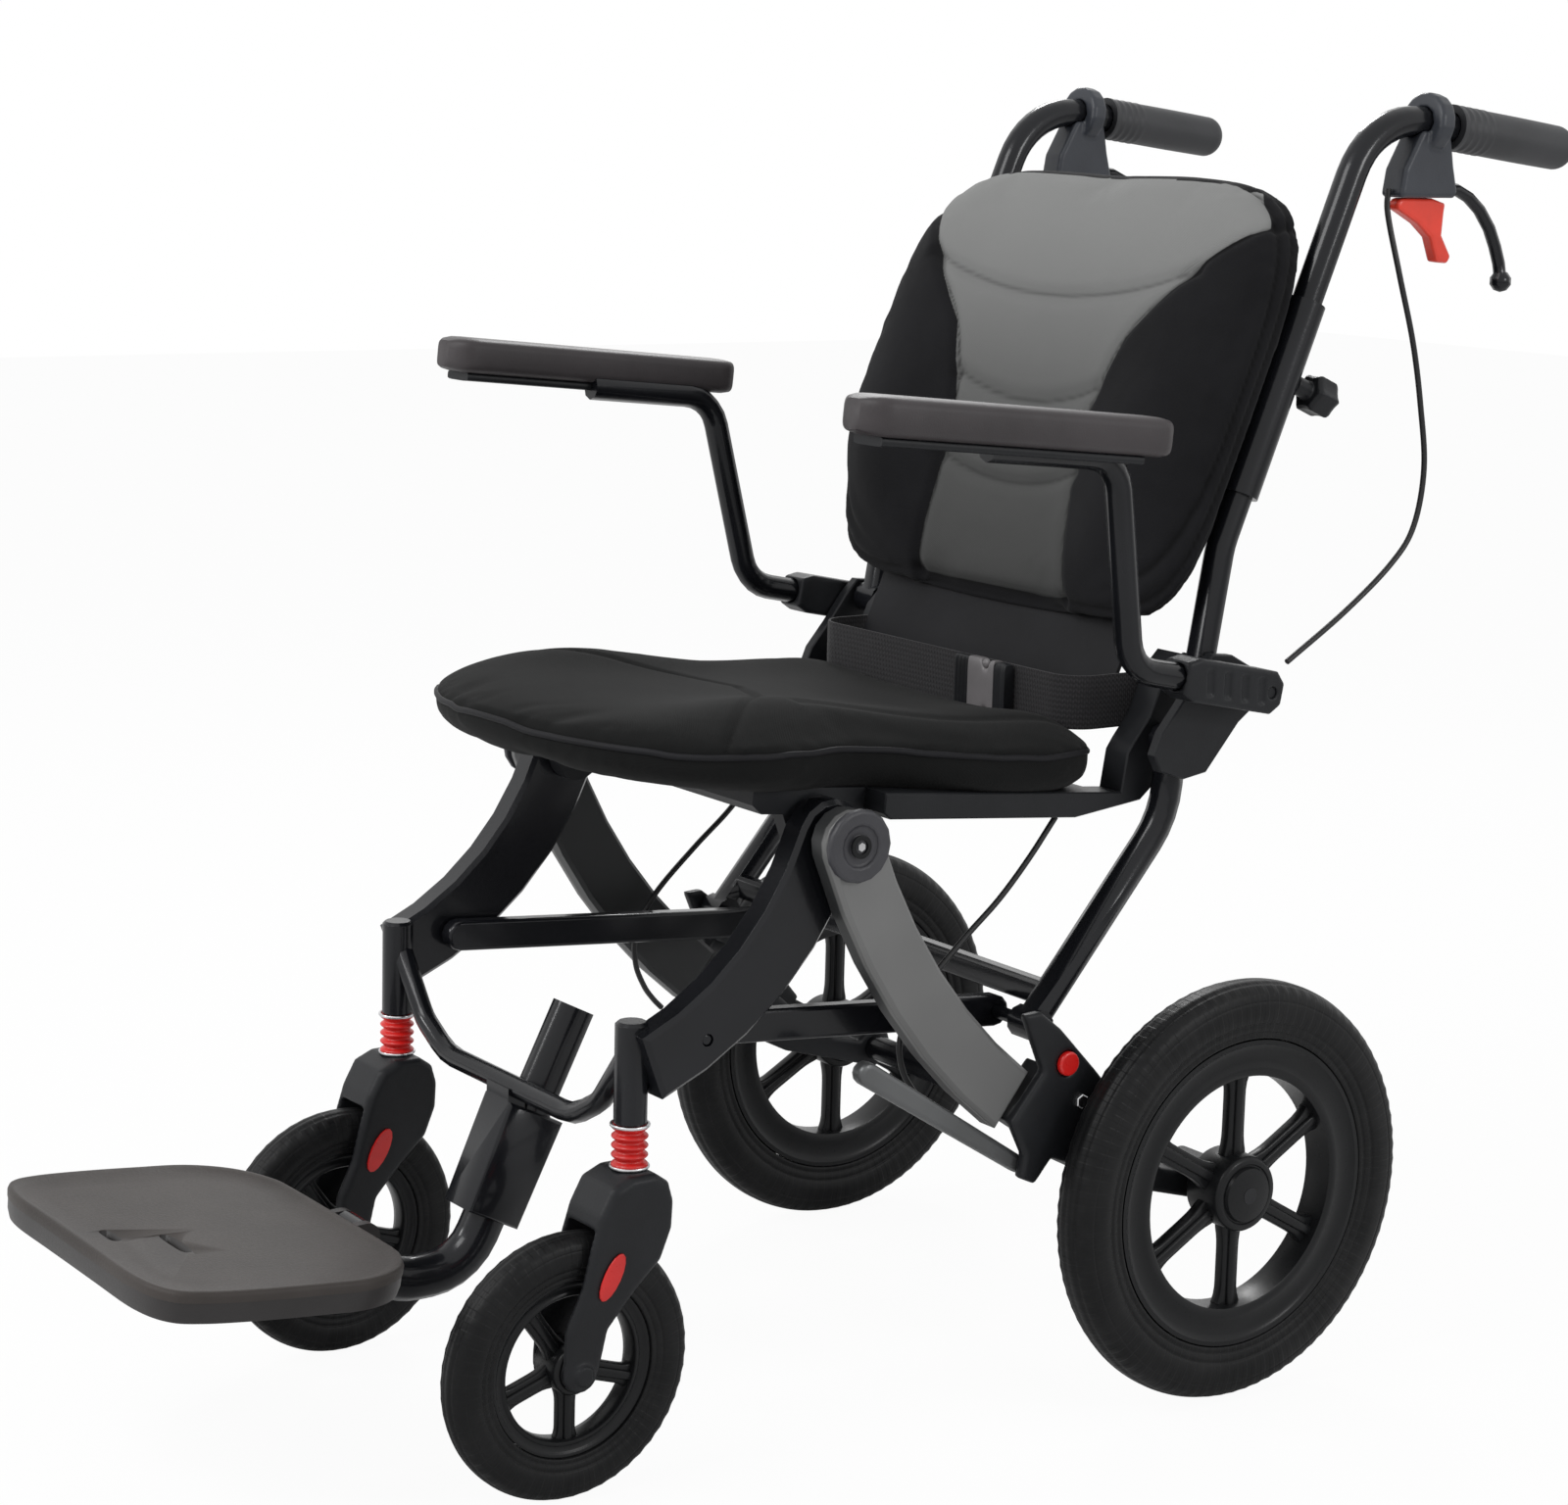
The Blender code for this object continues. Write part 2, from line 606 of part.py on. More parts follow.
def spoked_rim(name, centre, rim_outer, rim_depth, keel, rim_width, hub_radius, hub_half,
               bore, spokes, spoke_width, spoke_thickness, segments):
    """A one-piece wheel: rim band with a deeper middle, spokes and hub, and a bore for its axle."""
    half = rim_width / 2
    inner = rim_outer - rim_depth
    rim = turned(name, [(-half, inner), (-half, rim_outer), (half, rim_outer), (half, inner),
                        (half * 0.45, inner - keel), (-half * 0.45, inner - keel)], segments, centre)
    hub = turned("hub", [(-hub_half, 0), (-hub_half, hub_radius * 0.82), (HUB_EASE - hub_half, hub_radius),
                         (hub_half - HUB_EASE, hub_radius), (hub_half, hub_radius * 0.82), (hub_half, 0)],
                 12, centre)
    bars = [spoke("spoke", centre, hub_radius * 0.6, rim_outer - rim_depth * 0.5,
                  180 + 360 * index / spokes, spoke_width, spoke_thickness, 1.25)
            for index in range(spokes)]
    join_solids(rim, hub, *bars)
    reach = Vector((1, 0, 0)) * (hub_half + 0.01)
    return cut_away(rim, rod("bore", Vector(centre) - reach, Vector(centre) + reach,
                             bore + RUN_GAP, 12))


def build_rear_wheel(side):
    centre = (side * WHEEL_X, *AXLE)
    tyre = wheel_ring(side_name("rear_tyre", side), centre, REAR_WHEEL_RADIUS, REAR_TYRE_DEPTH,
                      REAR_TYRE_WIDTH, 26, "tyre_black")
    rim_outer = REAR_WHEEL_RADIUS - REAR_TYRE_DEPTH - SEAT_GAP
    rim = spoked_rim(side_name("rear_rim", side), centre, rim_outer, REAR_RIM_DEPTH, REAR_RIM_KEEL,
                     REAR_TYRE_WIDTH * 0.80, REAR_HUB_RADIUS, REAR_HUB_WIDTH / 2, REAR_AXLE_RADIUS,
                     REAR_SPOKE_COUNT, REAR_SPOKE_WIDTH, REAR_SPOKE_THICKNESS, 26)
    return [tyre, rim]


def build_caster_wheel(side):
    centre = (side * CASTER_X, *CASTER_AXLE)
    tyre = wheel_ring(side_name("caster_tyre", side), centre, CASTER_RADIUS, CASTER_TYRE_DEPTH,
                      CASTER_TYRE_WIDTH, 20, "tyre_black")
    rim_outer = CASTER_RADIUS - CASTER_TYRE_DEPTH - SEAT_GAP
    rim = spoked_rim(side_name("caster_rim", side), centre, rim_outer, CASTER_RIM_DEPTH, CASTER_RIM_KEEL,
                     CASTER_TYRE_WIDTH * 0.68, CASTER_HUB_RADIUS, CASTER_HUB_WIDTH / 2,
                     CASTER_BOLT_RADIUS, CASTER_SPOKE_COUNT, CASTER_SPOKE_WIDTH,
                     CASTER_TYRE_WIDTH * 0.36, 20)
    return [tyre, rim]


def fork_outline():
    """Side view of a caster fork: rounded crown above, arms sweeping forward to the axle."""
    y = CASTER_Y
    top = CROWN_TOP
    slot = FORK_SLOT_TOP
    axle_y, axle_z = CASTER_AXLE
    outline = [(y + 0.008, top), (y - 0.010, top), (y - 0.024, top - 0.006),
               (y - 0.033, slot + 0.010), (y - 0.040, slot - 0.012), (y - 0.046, slot - 0.036),
               (axle_y - 0.012, axle_z + 0.030)]
    dome((axle_y, axle_z), 0.0135, 165, 340, 6, outline)
    outline += [(axle_y + 0.020, axle_z + 0.026), (y - 0.006, slot - 0.044), (y + 0.013, slot - 0.026),
                (y + 0.021, slot - 0.006), (y + 0.022, slot + 0.012), (y + 0.018, top - 0.007)]
    return outline


def build_caster_fork(side):
    x = side * CASTER_X
    slot_half = CASTER_HUB_WIDTH / 2 + 0.0015
    outer = slot_half + FORK_ARM_THICKNESS
    fork = prism(side_name("caster_fork", side), fork_outline(), x - outer, x + outer, edge=0.0035)
    slot_low = CASTER_AXLE[1] - 0.05
    wheel_space = block("slot", (x, CASTER_Y, (slot_low + FORK_SLOT_TOP) / 2),
                        (2 * slot_half, 0.30, FORK_SLOT_TOP - slot_low))
    cut_away(fork, wheel_space)
    stem = rod("stem", (x, CASTER_Y, CROWN_TOP - 0.01), (x, CASTER_Y, HOUSING_TOP - HOUSING_CAP - 0.002),
               STEM_RADIUS, 12)
    bolt = rod("bolt", (x - outer - 0.003, *CASTER_AXLE), (x + outer + 0.003, *CASTER_AXLE),
               CASTER_BOLT_RADIUS, 12)
    heads = [rod("head", (x + way * (outer - 0.001), *CASTER_AXLE),
                 (x + way * (outer + 0.0035), *CASTER_AXLE), 0.0068, 10) for way in (-1, 1)]
    join_solids(fork, stem, bolt, *heads)
    return fork


def build_bushing(side):
    """Red grooved bushing between the fork crown and the steering housing."""
    low = BUSHING_LOW
    high = low + BUSHING_HEIGHT
    ring = 0.0022
    profile = [(low, STEM_RADIUS + RUN_GAP), (low, BUSHING_RADIUS), (low + ring, BUSHING_RADIUS)]
    ribs = 3
    pitch = (BUSHING_HEIGHT - 2 * ring) / ribs
    for index in range(ribs):
        start = low + ring + index * pitch
        profile += [(start + 0.15 * pitch, BUSHING_RADIUS - BUSHING_GROOVE),
                    (start + 0.50 * pitch, BUSHING_RADIUS - 0.0002),
                    (start + 0.85 * pitch, BUSHING_RADIUS - BUSHING_GROOVE)]
    profile += [(high - ring, BUSHING_RADIUS), (high, BUSHING_RADIUS), (high, STEM_RADIUS + RUN_GAP)]
    return turned(side_name("caster_bushing", side), profile, 10, (side * CASTER_X, CASTER_Y, 0),
                  (0, 0, 1), "signal_red")


def build_reflector(side):
    """Red oval on the outer face of the fork."""
    x = side * CASTER_X
    outer = CASTER_HUB_WIDTH / 2 + 0.0015 + FORK_ARM_THICKNESS
    centre = (CASTER_Y - 0.026, FORK_SLOT_TOP - 0.030)
    lean = math.radians(62)
    outline = []
    for index in range(16):
        angle = 2 * math.pi * index / 16
        a = REFLECTOR_LENGTH / 2 * math.cos(angle)
        b = REFLECTOR_WIDTH / 2 * math.sin(angle)
        outline.append((centre[0] + a * math.cos(lean) - b * math.sin(lean),
                        centre[1] + a * math.sin(lean) + b * math.cos(lean)))
    face = abs(x) + outer + SEAT_GAP
    x_low, x_high = mirrored(side, face, face + REFLECTOR_THICKNESS)
    return prism(side_name("fork_reflector", side), outline, x_low, x_high, "signal_red")


def build_front_leg(side):
    """Bowed front beam with the steering housing welded to its foot."""
    x_low, x_high = mirrored(side, FRONT_LEG_INNER_X, FRONT_LEG_OUTER_X)
    foot = (CASTER_Y + 0.004, HOUSING_LOW + FRONT_LEG_FOOT_RISE)
    outline = bowed_beam(PIVOT, foot, -FRONT_LEG_BOW, FRONT_LEG_HALF_WIDTH, FRONT_LEG_FOOT_HALF_WIDTH)
    leg = prism(side_name("front_leg", side), outline, x_low, x_high, edge=0.003)
    housing = turned("housing", [(HOUSING_LOW, 0), (HOUSING_LOW, HOUSING_RADIUS),
                                 (HOUSING_TOP - 0.002, HOUSING_RADIUS),
                                 (HOUSING_TOP, HOUSING_RADIUS - 0.002), (HOUSING_TOP, 0)], 14,
                     (side * CASTER_X, CASTER_Y, 0), (0, 0, 1))
    join_solids(leg, housing)
    bore = rod("bore", (side * CASTER_X, CASTER_Y, HOUSING_LOW - 0.01),
               (side * CASTER_X, CASTER_Y, HOUSING_TOP - HOUSING_CAP), STEM_RADIUS + RUN_GAP, 12)
    hole = rod("hole", (x_low - 0.01, *PIVOT), (x_high + 0.01, *PIVOT),
               PIVOT_PIN_RADIUS + RUN_GAP, 16)
    link_hole = rod("link_hole", (x_low - 0.01, *LINK_FRONT), (x_high + 0.01, *LINK_FRONT),
                    HINGE_PIN_RADIUS + RUN_GAP, 12)
    return cut_away(leg, bore, hole, link_hole)


def build_rear_leg(side):
    """Grey bowed rear beam, cut square where the lock bracket takes over."""
    x_low, x_high = mirrored(side, REAR_LEG_INNER_X, REAR_LEG_OUTER_X)
    outline = bowed_beam(PIVOT, (REAR_LEG_END_Y, REAR_LEG_END_Z), REAR_LEG_BOW, REAR_LEG_HALF_WIDTH,
                         REAR_LEG_HALF_WIDTH)
    leg = prism(side_name("rear_leg", side), outline, x_low, x_high, "leg_grey", edge=0.003)
    hole = rod("hole", (x_low - 0.01, *PIVOT), (x_high + 0.01, *PIVOT),
               PIVOT_PIN_RADIUS + RUN_GAP, 16)
    return cut_away(leg, hole)


def build_pivot_bolt(side):
    """Main pivot bolt with a recessed disc outside the grey leg."""
    inner = side * (LINK_INNER_X + 0.0005)
    face = side * (REAR_LEG_OUTER_X + SEAT_GAP)
    outer = face + side * PIVOT_DISC_THICKNESS
    ring = PIVOT_DISC_RADIUS
    profile = [(inner, 0), (inner, PIVOT_PIN_RADIUS), (face, PIVOT_PIN_RADIUS), (face, ring),
                   (outer - side * 0.0015, ring), (outer, ring - 0.0015), (outer, ring * 0.60),
               (outer - side * 0.0025, ring * 0.54), (outer - side * 0.0025, ring * 0.28),
               (outer - side * 0.0005, ring * 0.24), (outer - side * 0.0005, 0)]
    return turned(side_name("pivot_bolt", side), profile, 16, (0, *PIVOT), finish="plastic_black")


def lock_path(share):
    """Where the knee end of the strut runs: from the knee at rest down in a shallow bow."""
    chord = Vector((LOCK_END_Y - KNEE_Y, LOCK_END_Z - KNEE_Z))
    below = Vector((chord.y, -chord.x)).normalized()
    bow = 4 * LOCK_BOW * share * (1 - share)
    return Vector(KNEE) + chord * share + below * bow, below


def build_lock_bracket(side):
    """Black rear bracket: a cheek outside the strut's foot and a body down to the axle boss."""
    inner, outer = REAR_LEG_INNER_X, CHEEK_OUTER_X
    upper = []
    for share in (0.13, 0.40, 0.70, 1.0):
        place, below = lock_path(share)
        upper.append(tuple(place + below * (STRUT_RADIUS + LOCK_CLEARANCE)))
    leg_end = Vector((REAR_LEG_END_Y, REAR_LEG_END_Z))
    across = (leg_end - Vector(PIVOT)).normalized()
    spread = Vector((-across.y, across.x))
    gap = across * 0.0045
    low_corner = leg_end - spread * REAR_LEG_HALF_WIDTH * 0.62 + gap
    high_corner = leg_end + spread * REAR_LEG_HALF_WIDTH * 0.20 + gap
    body_line = [tuple(low_corner), tuple(high_corner)] + upper
    dome(AXLE, BRACKET_BOSS_RADIUS, 155, -125, 7, body_line)
    body_line += [(-0.085, 0.158), (-0.120, 0.176), (-0.137, 0.190)]
    x_low, x_high = mirrored(side, inner, outer)
    body = prism(side_name("lock_bracket", side), body_line, x_low, x_high, "plastic_black", 0.0015)
    cheek_line = [tuple(leg_end + spread * (REAR_LEG_HALF_WIDTH + 0.004) + gap - across * 0.010),
                  (-0.168, 0.290), (-0.154, 0.291), (-0.136, 0.277), (-0.104, 0.244),
                  (-0.084, 0.222), (-0.060, 0.194), (-0.080, 0.162), (-0.140, 0.186),
                  (BRAKE_ARM_PIVOT_Y + 0.006, BRAKE_ARM_PIVOT_Z - 0.012),
                  (BRAKE_ARM_PIVOT_Y - 0.007, BRAKE_ARM_PIVOT_Z - 0.006),
                  (BRAKE_ARM_PIVOT_Y - 0.004, BRAKE_ARM_PIVOT_Z + 0.010),
                  tuple(low_corner)]
    x_low, x_high = mirrored(side, CHEEK_INNER_X, outer)
    cheek = prism("cheek", cheek_line, x_low, x_high, "plastic_black", 0.0015)
    join_solids(body, cheek)
    hole = rod("hole", (x_low - 0.05, *AXLE), (x_high + 0.05, *AXLE), REAR_AXLE_RADIUS + SEAT_GAP, 16)
    button_y, button_z = button_place()
    well_end = side * (outer - BUTTON_SINK - 0.002)
    well = rod("well", (well_end, button_y, button_z), (side * (outer + 0.01), button_y, button_z),
               BUTTON_RADIUS + RUN_GAP, 16)
    return cut_away(body, hole, well)


def button_place():
    return (-0.130, 0.252)


def build_release_button(side):
    """Red push button that lets the fold lock go."""
    y, z = button_place()
    low = CHEEK_OUTER_X - BUTTON_SINK + 0.0030
    high = CHEEK_OUTER_X + BUTTON_STAND
    profile = [(side * low, 0), (side * low, BUTTON_RADIUS), (side * (high - 0.001), BUTTON_RADIUS),
               (side * high, BUTTON_RADIUS - 0.001), (side * high, 0)]
    return turned(side_name("release_button", side), profile, 16, (0, y, z), finish="signal_red")


def build_axle_tube():
    """Cross tube between the rear brackets, with the stub axles turned on its ends."""
    half = REAR_LEG_INNER_X - SEAT_GAP
    tip = WHEEL_X + REAR_HUB_WIDTH / 2 + REAR_CAP_DEPTH
    profile = [(-tip, 0), (-tip, REAR_AXLE_RADIUS), (-half, REAR_AXLE_RADIUS),
               (-half, AXLE_TUBE_RADIUS), (half, AXLE_TUBE_RADIUS), (half, REAR_AXLE_RADIUS),
               (tip, REAR_AXLE_RADIUS), (tip, 0)]
    return turned("axle_tube", profile, 16, (0, *AXLE))


def build_brake_arm():
    """Pale cast arm on the sitter's left, hung inside the rear bracket's lower tab."""
    inner = CHEEK_INNER_X - SEAT_GAP - BRAKE_ARM_THICKNESS
    start = Vector((BRAKE_ARM_PIVOT_Y, BRAKE_ARM_PIVOT_Z))
    end = Vector((BRAKE_ARM_TIP_Y, BRAKE_ARM_TIP_Z))
    along = (end - start).normalized()
    up = Vector((-along.y, along.x))
    if up.y < 0:
        up = -up
    angle = math.degrees(math.atan2(along.y, along.x))
    outline = arc_points(start, BRAKE_ARM_HALF_WIDTH * 0.75, angle + 90, angle + 270, 6)
    outline += arc_points(end, BRAKE_ARM_HALF_WIDTH, angle - 90, angle + 90, 6)
    return prism("brake_arm", outline, inner, inner + BRAKE_ARM_THICKNESS, "arm_grey", 0.002)


def build_front_cross_tube():
    """Dropped tube between the two steering housings, with the foot post's sleeve under it."""
    half = CASTER_X - HOUSING_RADIUS * 0.5
    top = CROSS_TUBE_LOW + CROSS_TUBE_DROP
    low = CROSS_TUBE_LOW
    shoulder = 0.118
    corners = [(-half, CROSS_TUBE_Y, top), (-shoulder, CROSS_TUBE_Y, low + 0.018),
               (-CROSS_TUBE_FLAT_HALF, CROSS_TUBE_Y, low), (CROSS_TUBE_FLAT_HALF, CROSS_TUBE_Y, low),
               (shoulder, CROSS_TUBE_Y, low + 0.018), (half, CROSS_TUBE_Y, top)]
    route = rounded_route(corners, (0.03, 0.05, 0.05, 0.03), 22)
    tube = bent_tube("front_cross_tube", route, CROSS_TUBE_RADIUS, 2)
    posts = [rod("post", (side * CASTER_X, CASTER_Y, HOUSING_LOW - 0.02),
                 (side * CASTER_X, CASTER_Y, HOUSING_TOP + 0.02), HOUSING_RADIUS + SEAT_GAP, 16)
             for side in (-1, 1)]
    cut_away(tube, *posts)
    join_solids(tube, foot_sleeve())
    return cut_away(tube, rod("bore", (0, *post_point(0)), (0, *post_point(POST_STRAIGHT + 0.05)),
                              POST_RADIUS + RUN_GAP, 16))


def post_point(along, across=0.0):
    """(y, z) of a place measured down the foot post from its top, and across towards the front."""
    lean = math.radians(POST_LEAN_DEG)
    return (POST_TOP_Y - along * math.sin(lean) - across * math.cos(lean),
            POST_TOP_Z - along * math.cos(lean) + across * math.sin(lean))


def sleeve_start():
    """How far down the post the sleeve begins: just under the front cross tube."""
    low = CROSS_TUBE_LOW - CROSS_TUBE_RADIUS - SEAT_GAP
    front_across = POST_RADIUS + SLEEVE_WALL + SLEEVE_NOSE
    lean = math.radians(POST_LEAN_DEG)
    return (POST_TOP_Z + front_across * math.sin(lean) - low) / math.cos(lean)


def foot_sleeve():
    """Clamp block under the cross tube, still without the bore for the foot post."""
    start = sleeve_start()
    half = POST_RADIUS + SLEEVE_WALL
    front = half + SLEEVE_NOSE
    outline = [post_point(start, front), post_point(start, -half),
               post_point(start + SLEEVE_LENGTH, -half),
               post_point(start + SLEEVE_LENGTH, front - 0.004)]
    block_part = prism("sleeve", outline, -half, half, edge=0.002)
    low = CROSS_TUBE_LOW
    saddle = [(CROSS_TUBE_Y - 0.009, low - CROSS_TUBE_RADIUS - 0.012),
              (CROSS_TUBE_Y - 0.009, low + 0.001), (CROSS_TUBE_Y + 0.004, low + 0.001),
              (CROSS_TUBE_Y + 0.004, low - CROSS_TUBE_RADIUS - 0.012)]
    return join_solids(block_part, prism("saddle", saddle, -half * 0.8, half * 0.8))


def plate_point(along, up):
    """(y, z) on the footplate: along forward from its rear top edge, and up from its top face."""
    tilt = math.radians(PLATE_TILT_DEG)
    return (PLATE_REAR_Y - along * math.cos(tilt) + up * math.sin(tilt),
            PLATE_REAR_TOP_Z + along * math.sin(tilt) + up * math.cos(tilt))


def plate_hinge():
    """The plate's hinge stands just behind its rear edge, so that it can flip up past the post."""
    return plate_point(-PLATE_HINGE_BEHIND, -PLATE_HINGE_DROP)


def build_foot_post():
    """Foot tube: straight through the sleeve, then curved forward under the plate's rear edge."""
    hinge_y, hinge_z = plate_hinge()
    straight_end = post_point(POST_STRAIGHT)
    low_z = straight_end[1] - 0.012
    corners = [(0, *post_point(0)), (0, *post_point(POST_STRAIGHT + 0.020)),
               (0, straight_end[0] - 0.052, low_z - 0.006),
               (0, *plate_point(POST_END_INSET, -POST_END_DROP))]
    route = rounded_route(corners, (POST_BEND_RADIUS, POST_BEND_RADIUS), 15)
    post = bent_tube("foot_post", route, POST_RADIUS, 3)
    riser = block("riser", (0, hinge_y, hinge_z - 0.012), (2 * KNUCKLE_HALF_WIDTH, 0.014, 0.024))
    knuckle = rod("knuckle", (-KNUCKLE_HALF_WIDTH, hinge_y, hinge_z),
                  (KNUCKLE_HALF_WIDTH, hinge_y, hinge_z), PLATE_LUG_RADIUS, 12)
    pin = rod("pin", (-KNUCKLE_HALF_WIDTH - PLATE_LUG_WIDTH, hinge_y, hinge_z),
              (KNUCKLE_HALF_WIDTH + PLATE_LUG_WIDTH, hinge_y, hinge_z), HINGE_PIN_RADIUS, 12)
    shave = block("shave", (0, -0.05, 0.05), (0.10, 0.10, 0.10))
    turn = Matrix.Rotation(-math.radians(PLATE_TILT_DEG), 4, "X")
    reach = plate_point(-0.001, -PLATE_THICKNESS - 0.0012)
    shave.data.transform(Matrix.Translation((0, *reach)) @ turn)
    cut_away(post, shave)
    return join_solids(post, riser, knuckle, pin)


def build_footplate():
    """Wide tray-like plate with two lugs, a hand slot and a small drain slot."""
    length = (PLATE_REAR_Y - PLATE_FRONT_Y) / math.cos(math.radians(PLATE_TILT_DEG))
    half = PLATE_HALF_WIDTH
    plan = [(0.0, half * 0.60), (0.006, half * 0.74), (0.022, half * 0.90), (0.050, half),
            (length * 0.60, half), (length * 0.88, half * 0.96), (length - 0.010, half * 0.90),
            (length, half * 0.82)]
    points = plan + [(along, -across) for along, across in reversed(plan)]
    bm = bmesh.new()
    top = [bm.verts.new((across, *plate_point(along, 0.0))) for along, across in points]
    low = [bm.verts.new((across * 0.985, *plate_point(min(max(along, 0.003), length - 0.003),
                                                      -PLATE_THICKNESS))) for along, across in points]
    bm.faces.new(top)
    bm.faces.new(list(reversed(low)))
    for index in range(len(points)):
        after = (index + 1) % len(points)
        bm.faces.new((top[after], top[index], low[index], low[after]))
    bmesh.ops.recalc_face_normals(bm, faces=bm.faces)
    rim = [item for item in bm.edges if all(vert in top for vert in item.verts)]
    bmesh.ops.bevel(bm, geom=rim, offset=0.0025, segments=1, profile=0.5, affect="EDGES")
    plate = finish_mesh("footplate", bm, "plate_brown")
    hinge_y, hinge_z = plate_hinge()
    lugs = []
    for way in (-1, 1):
        inner = KNUCKLE_HALF_WIDTH + RUN_GAP
        x_low, x_high = mirrored(way, inner, inner + PLATE_LUG_WIDTH)
        outline = arc_points((hinge_y, hinge_z), PLATE_LUG_RADIUS, -84, 84, 6)
        outline += [plate_point(0.012, -0.005), plate_point(0.012, -PLATE_THICKNESS + 0.001)]
        lugs.append(prism("lug", outline, x_low, x_high))
    join_solids(plate, *lugs)
    holes = [rod("hole", (-0.06, hinge_y, hinge_z), (0.06, hinge_y, hinge_z),
                 HINGE_PIN_RADIUS + RUN_GAP, 12)]
    for along, across, reach in ((0.130, 0.026, 0.020), (0.163, 0.0, 0.012)):
        y, z = plate_point(along, -PLATE_THICKNESS / 2)
        slot = block("slot", (across, y, z), (2 * reach, 0.009, 0.06))
        holes.append(slot)
    return cut_away(plate, *holes)


def build_fold_link(side):
    """Flat bar from the front leg back to the strut's knee."""
    front = Vector(LINK_FRONT)
    rear = Vector(KNEE)
    along = (rear - front).normalized()
    angle = math.degrees(math.atan2(along.y, along.x))
    outline = arc_points(front, LINK_HALF_HEIGHT, angle + 90, angle + 270, 6)
    outline += arc_points(rear, LINK_HALF_HEIGHT, angle - 90, angle + 90, 6)
    x_low, x_high = mirrored(side, LINK_INNER_X, LINK_OUTER_X)
    bar = prism(side_name("fold_link", side), outline, x_low, x_high, edge=0.0015)
    pin_low, pin_high = mirrored(side, LINK_OUTER_X - 0.002, FRONT_LEG_OUTER_X - 0.001)
    return join_solids(bar, rod("pin", (pin_low, *LINK_FRONT), (pin_high, *LINK_FRONT),
                                HINGE_PIN_RADIUS, 12))


def build_strut_frame():
    """Both bent rear struts, joined by a flat cross bar, with a pin stub at each knee."""
    knee = Vector(KNEE)
    pivot = Vector(STRUT_PIVOT)
    bend = Vector((pivot.x - 0.0035, knee.y + 0.134))
    low_end = knee + (knee - bend).normalized() * 0.002
    high_end = pivot + (pivot - bend).normalized() * 0.002
    struts = []
    pieces = []
    for side in (1, -1):
        x = side * STRUT_SIDE_X
        corners = [(x, *low_end), (x, *bend), (x, *high_end)]
        route = rounded_route(corners, (STRUT_BEND_RADIUS,), 10)
        strut = bent_tube("strut", route, STRUT_RADIUS, 2)
        foot = rod("foot", (x - EYE_HALF_WIDTH, *KNEE), (x + EYE_HALF_WIDTH, *KNEE),
                   STRUT_RADIUS + 0.0006, 10)
        head = rod("head", (x - EYE_HALF_WIDTH, *STRUT_PIVOT), (x + EYE_HALF_WIDTH, *STRUT_PIVOT),
                   STRUT_RADIUS + 0.0006, 10)
        stub = rod("stub", (side * (LINK_OUTER_X + 0.0005), KNEE_Y, KNEE_Z), (x, KNEE_Y, KNEE_Z),
                   HINGE_PIN_RADIUS + 0.001, 8)
        struts.append(strut)
        pieces += [foot, head, stub]
    middle = knee + (bend - knee).normalized() * CROSS_BAR_ALONG
    bar = block("bar", (0, middle.x, middle.y), (2 * STRUT_SIDE_X, CROSS_BAR_DEPTH, CROSS_BAR_HEIGHT),
                edge=0.0015)
    frame = rename(struts[0], "strut_frame")
    join_solids(frame, struts[1], bar, *pieces)
    reach = STRUT_SIDE_X + 2 * EYE_HALF_WIDTH
    return cut_away(frame, rod("hole", (-reach, *STRUT_PIVOT), (reach, *STRUT_PIVOT),
                               HINGE_PIN_RADIUS + RUN_GAP, 12))


def seat_outline(points):
    return [seat_point(along, up) for along, up in points]


def build_seat_frame():
    """Pan under the cushion, ears for the main pivot, side rails with cheeks, and hinge pins.

    The rails stand up behind the cushion and carry the struts, the backrest and the armrests.
    """
    low = PAN_LIFT
    high = PAN_LIFT + PAN_THICKNESS
    outline = seat_outline([(PAN_FRONT, high), (PAN_FRONT, low + 0.006), (PAN_FRONT + PAN_EDGE, low),
                            (PAN_REAR - PAN_REAR_SLOPE, low), (PAN_REAR - PAN_EDGE, low + 0.006),
                            (PAN_REAR, high)])
    pan = prism("seat_frame", outline, -PAN_HALF_WIDTH, PAN_HALF_WIDTH, "plastic_black")
    ears = []
    for side in (1, -1):
        x_low, x_high = mirrored(side, LINK_INNER_X, LINK_OUTER_X)
        line = arc_points(PIVOT, PAN_EAR_RADIUS, 190, 350, 8)
        line += seat_outline([(PAN_EAR_HALF_WIDTH, low + 0.002), (-PAN_EAR_HALF_WIDTH, low + 0.002)])
        ears.append(prism("ear", line, x_low, x_high, "plastic_black"))
    sides = [piece for side in (1, -1) for piece in seat_side(side)]
    join_solids(pan, *ears, *sides)
    holes = [rod("hole", (side * 0.10, *PIVOT), (side * (FRONT_LEG_INNER_X - 0.0005), *PIVOT),
                 PIVOT_PIN_RADIUS + RUN_GAP, 16) for side in (1, -1)]
    return cut_away(pan, *holes)


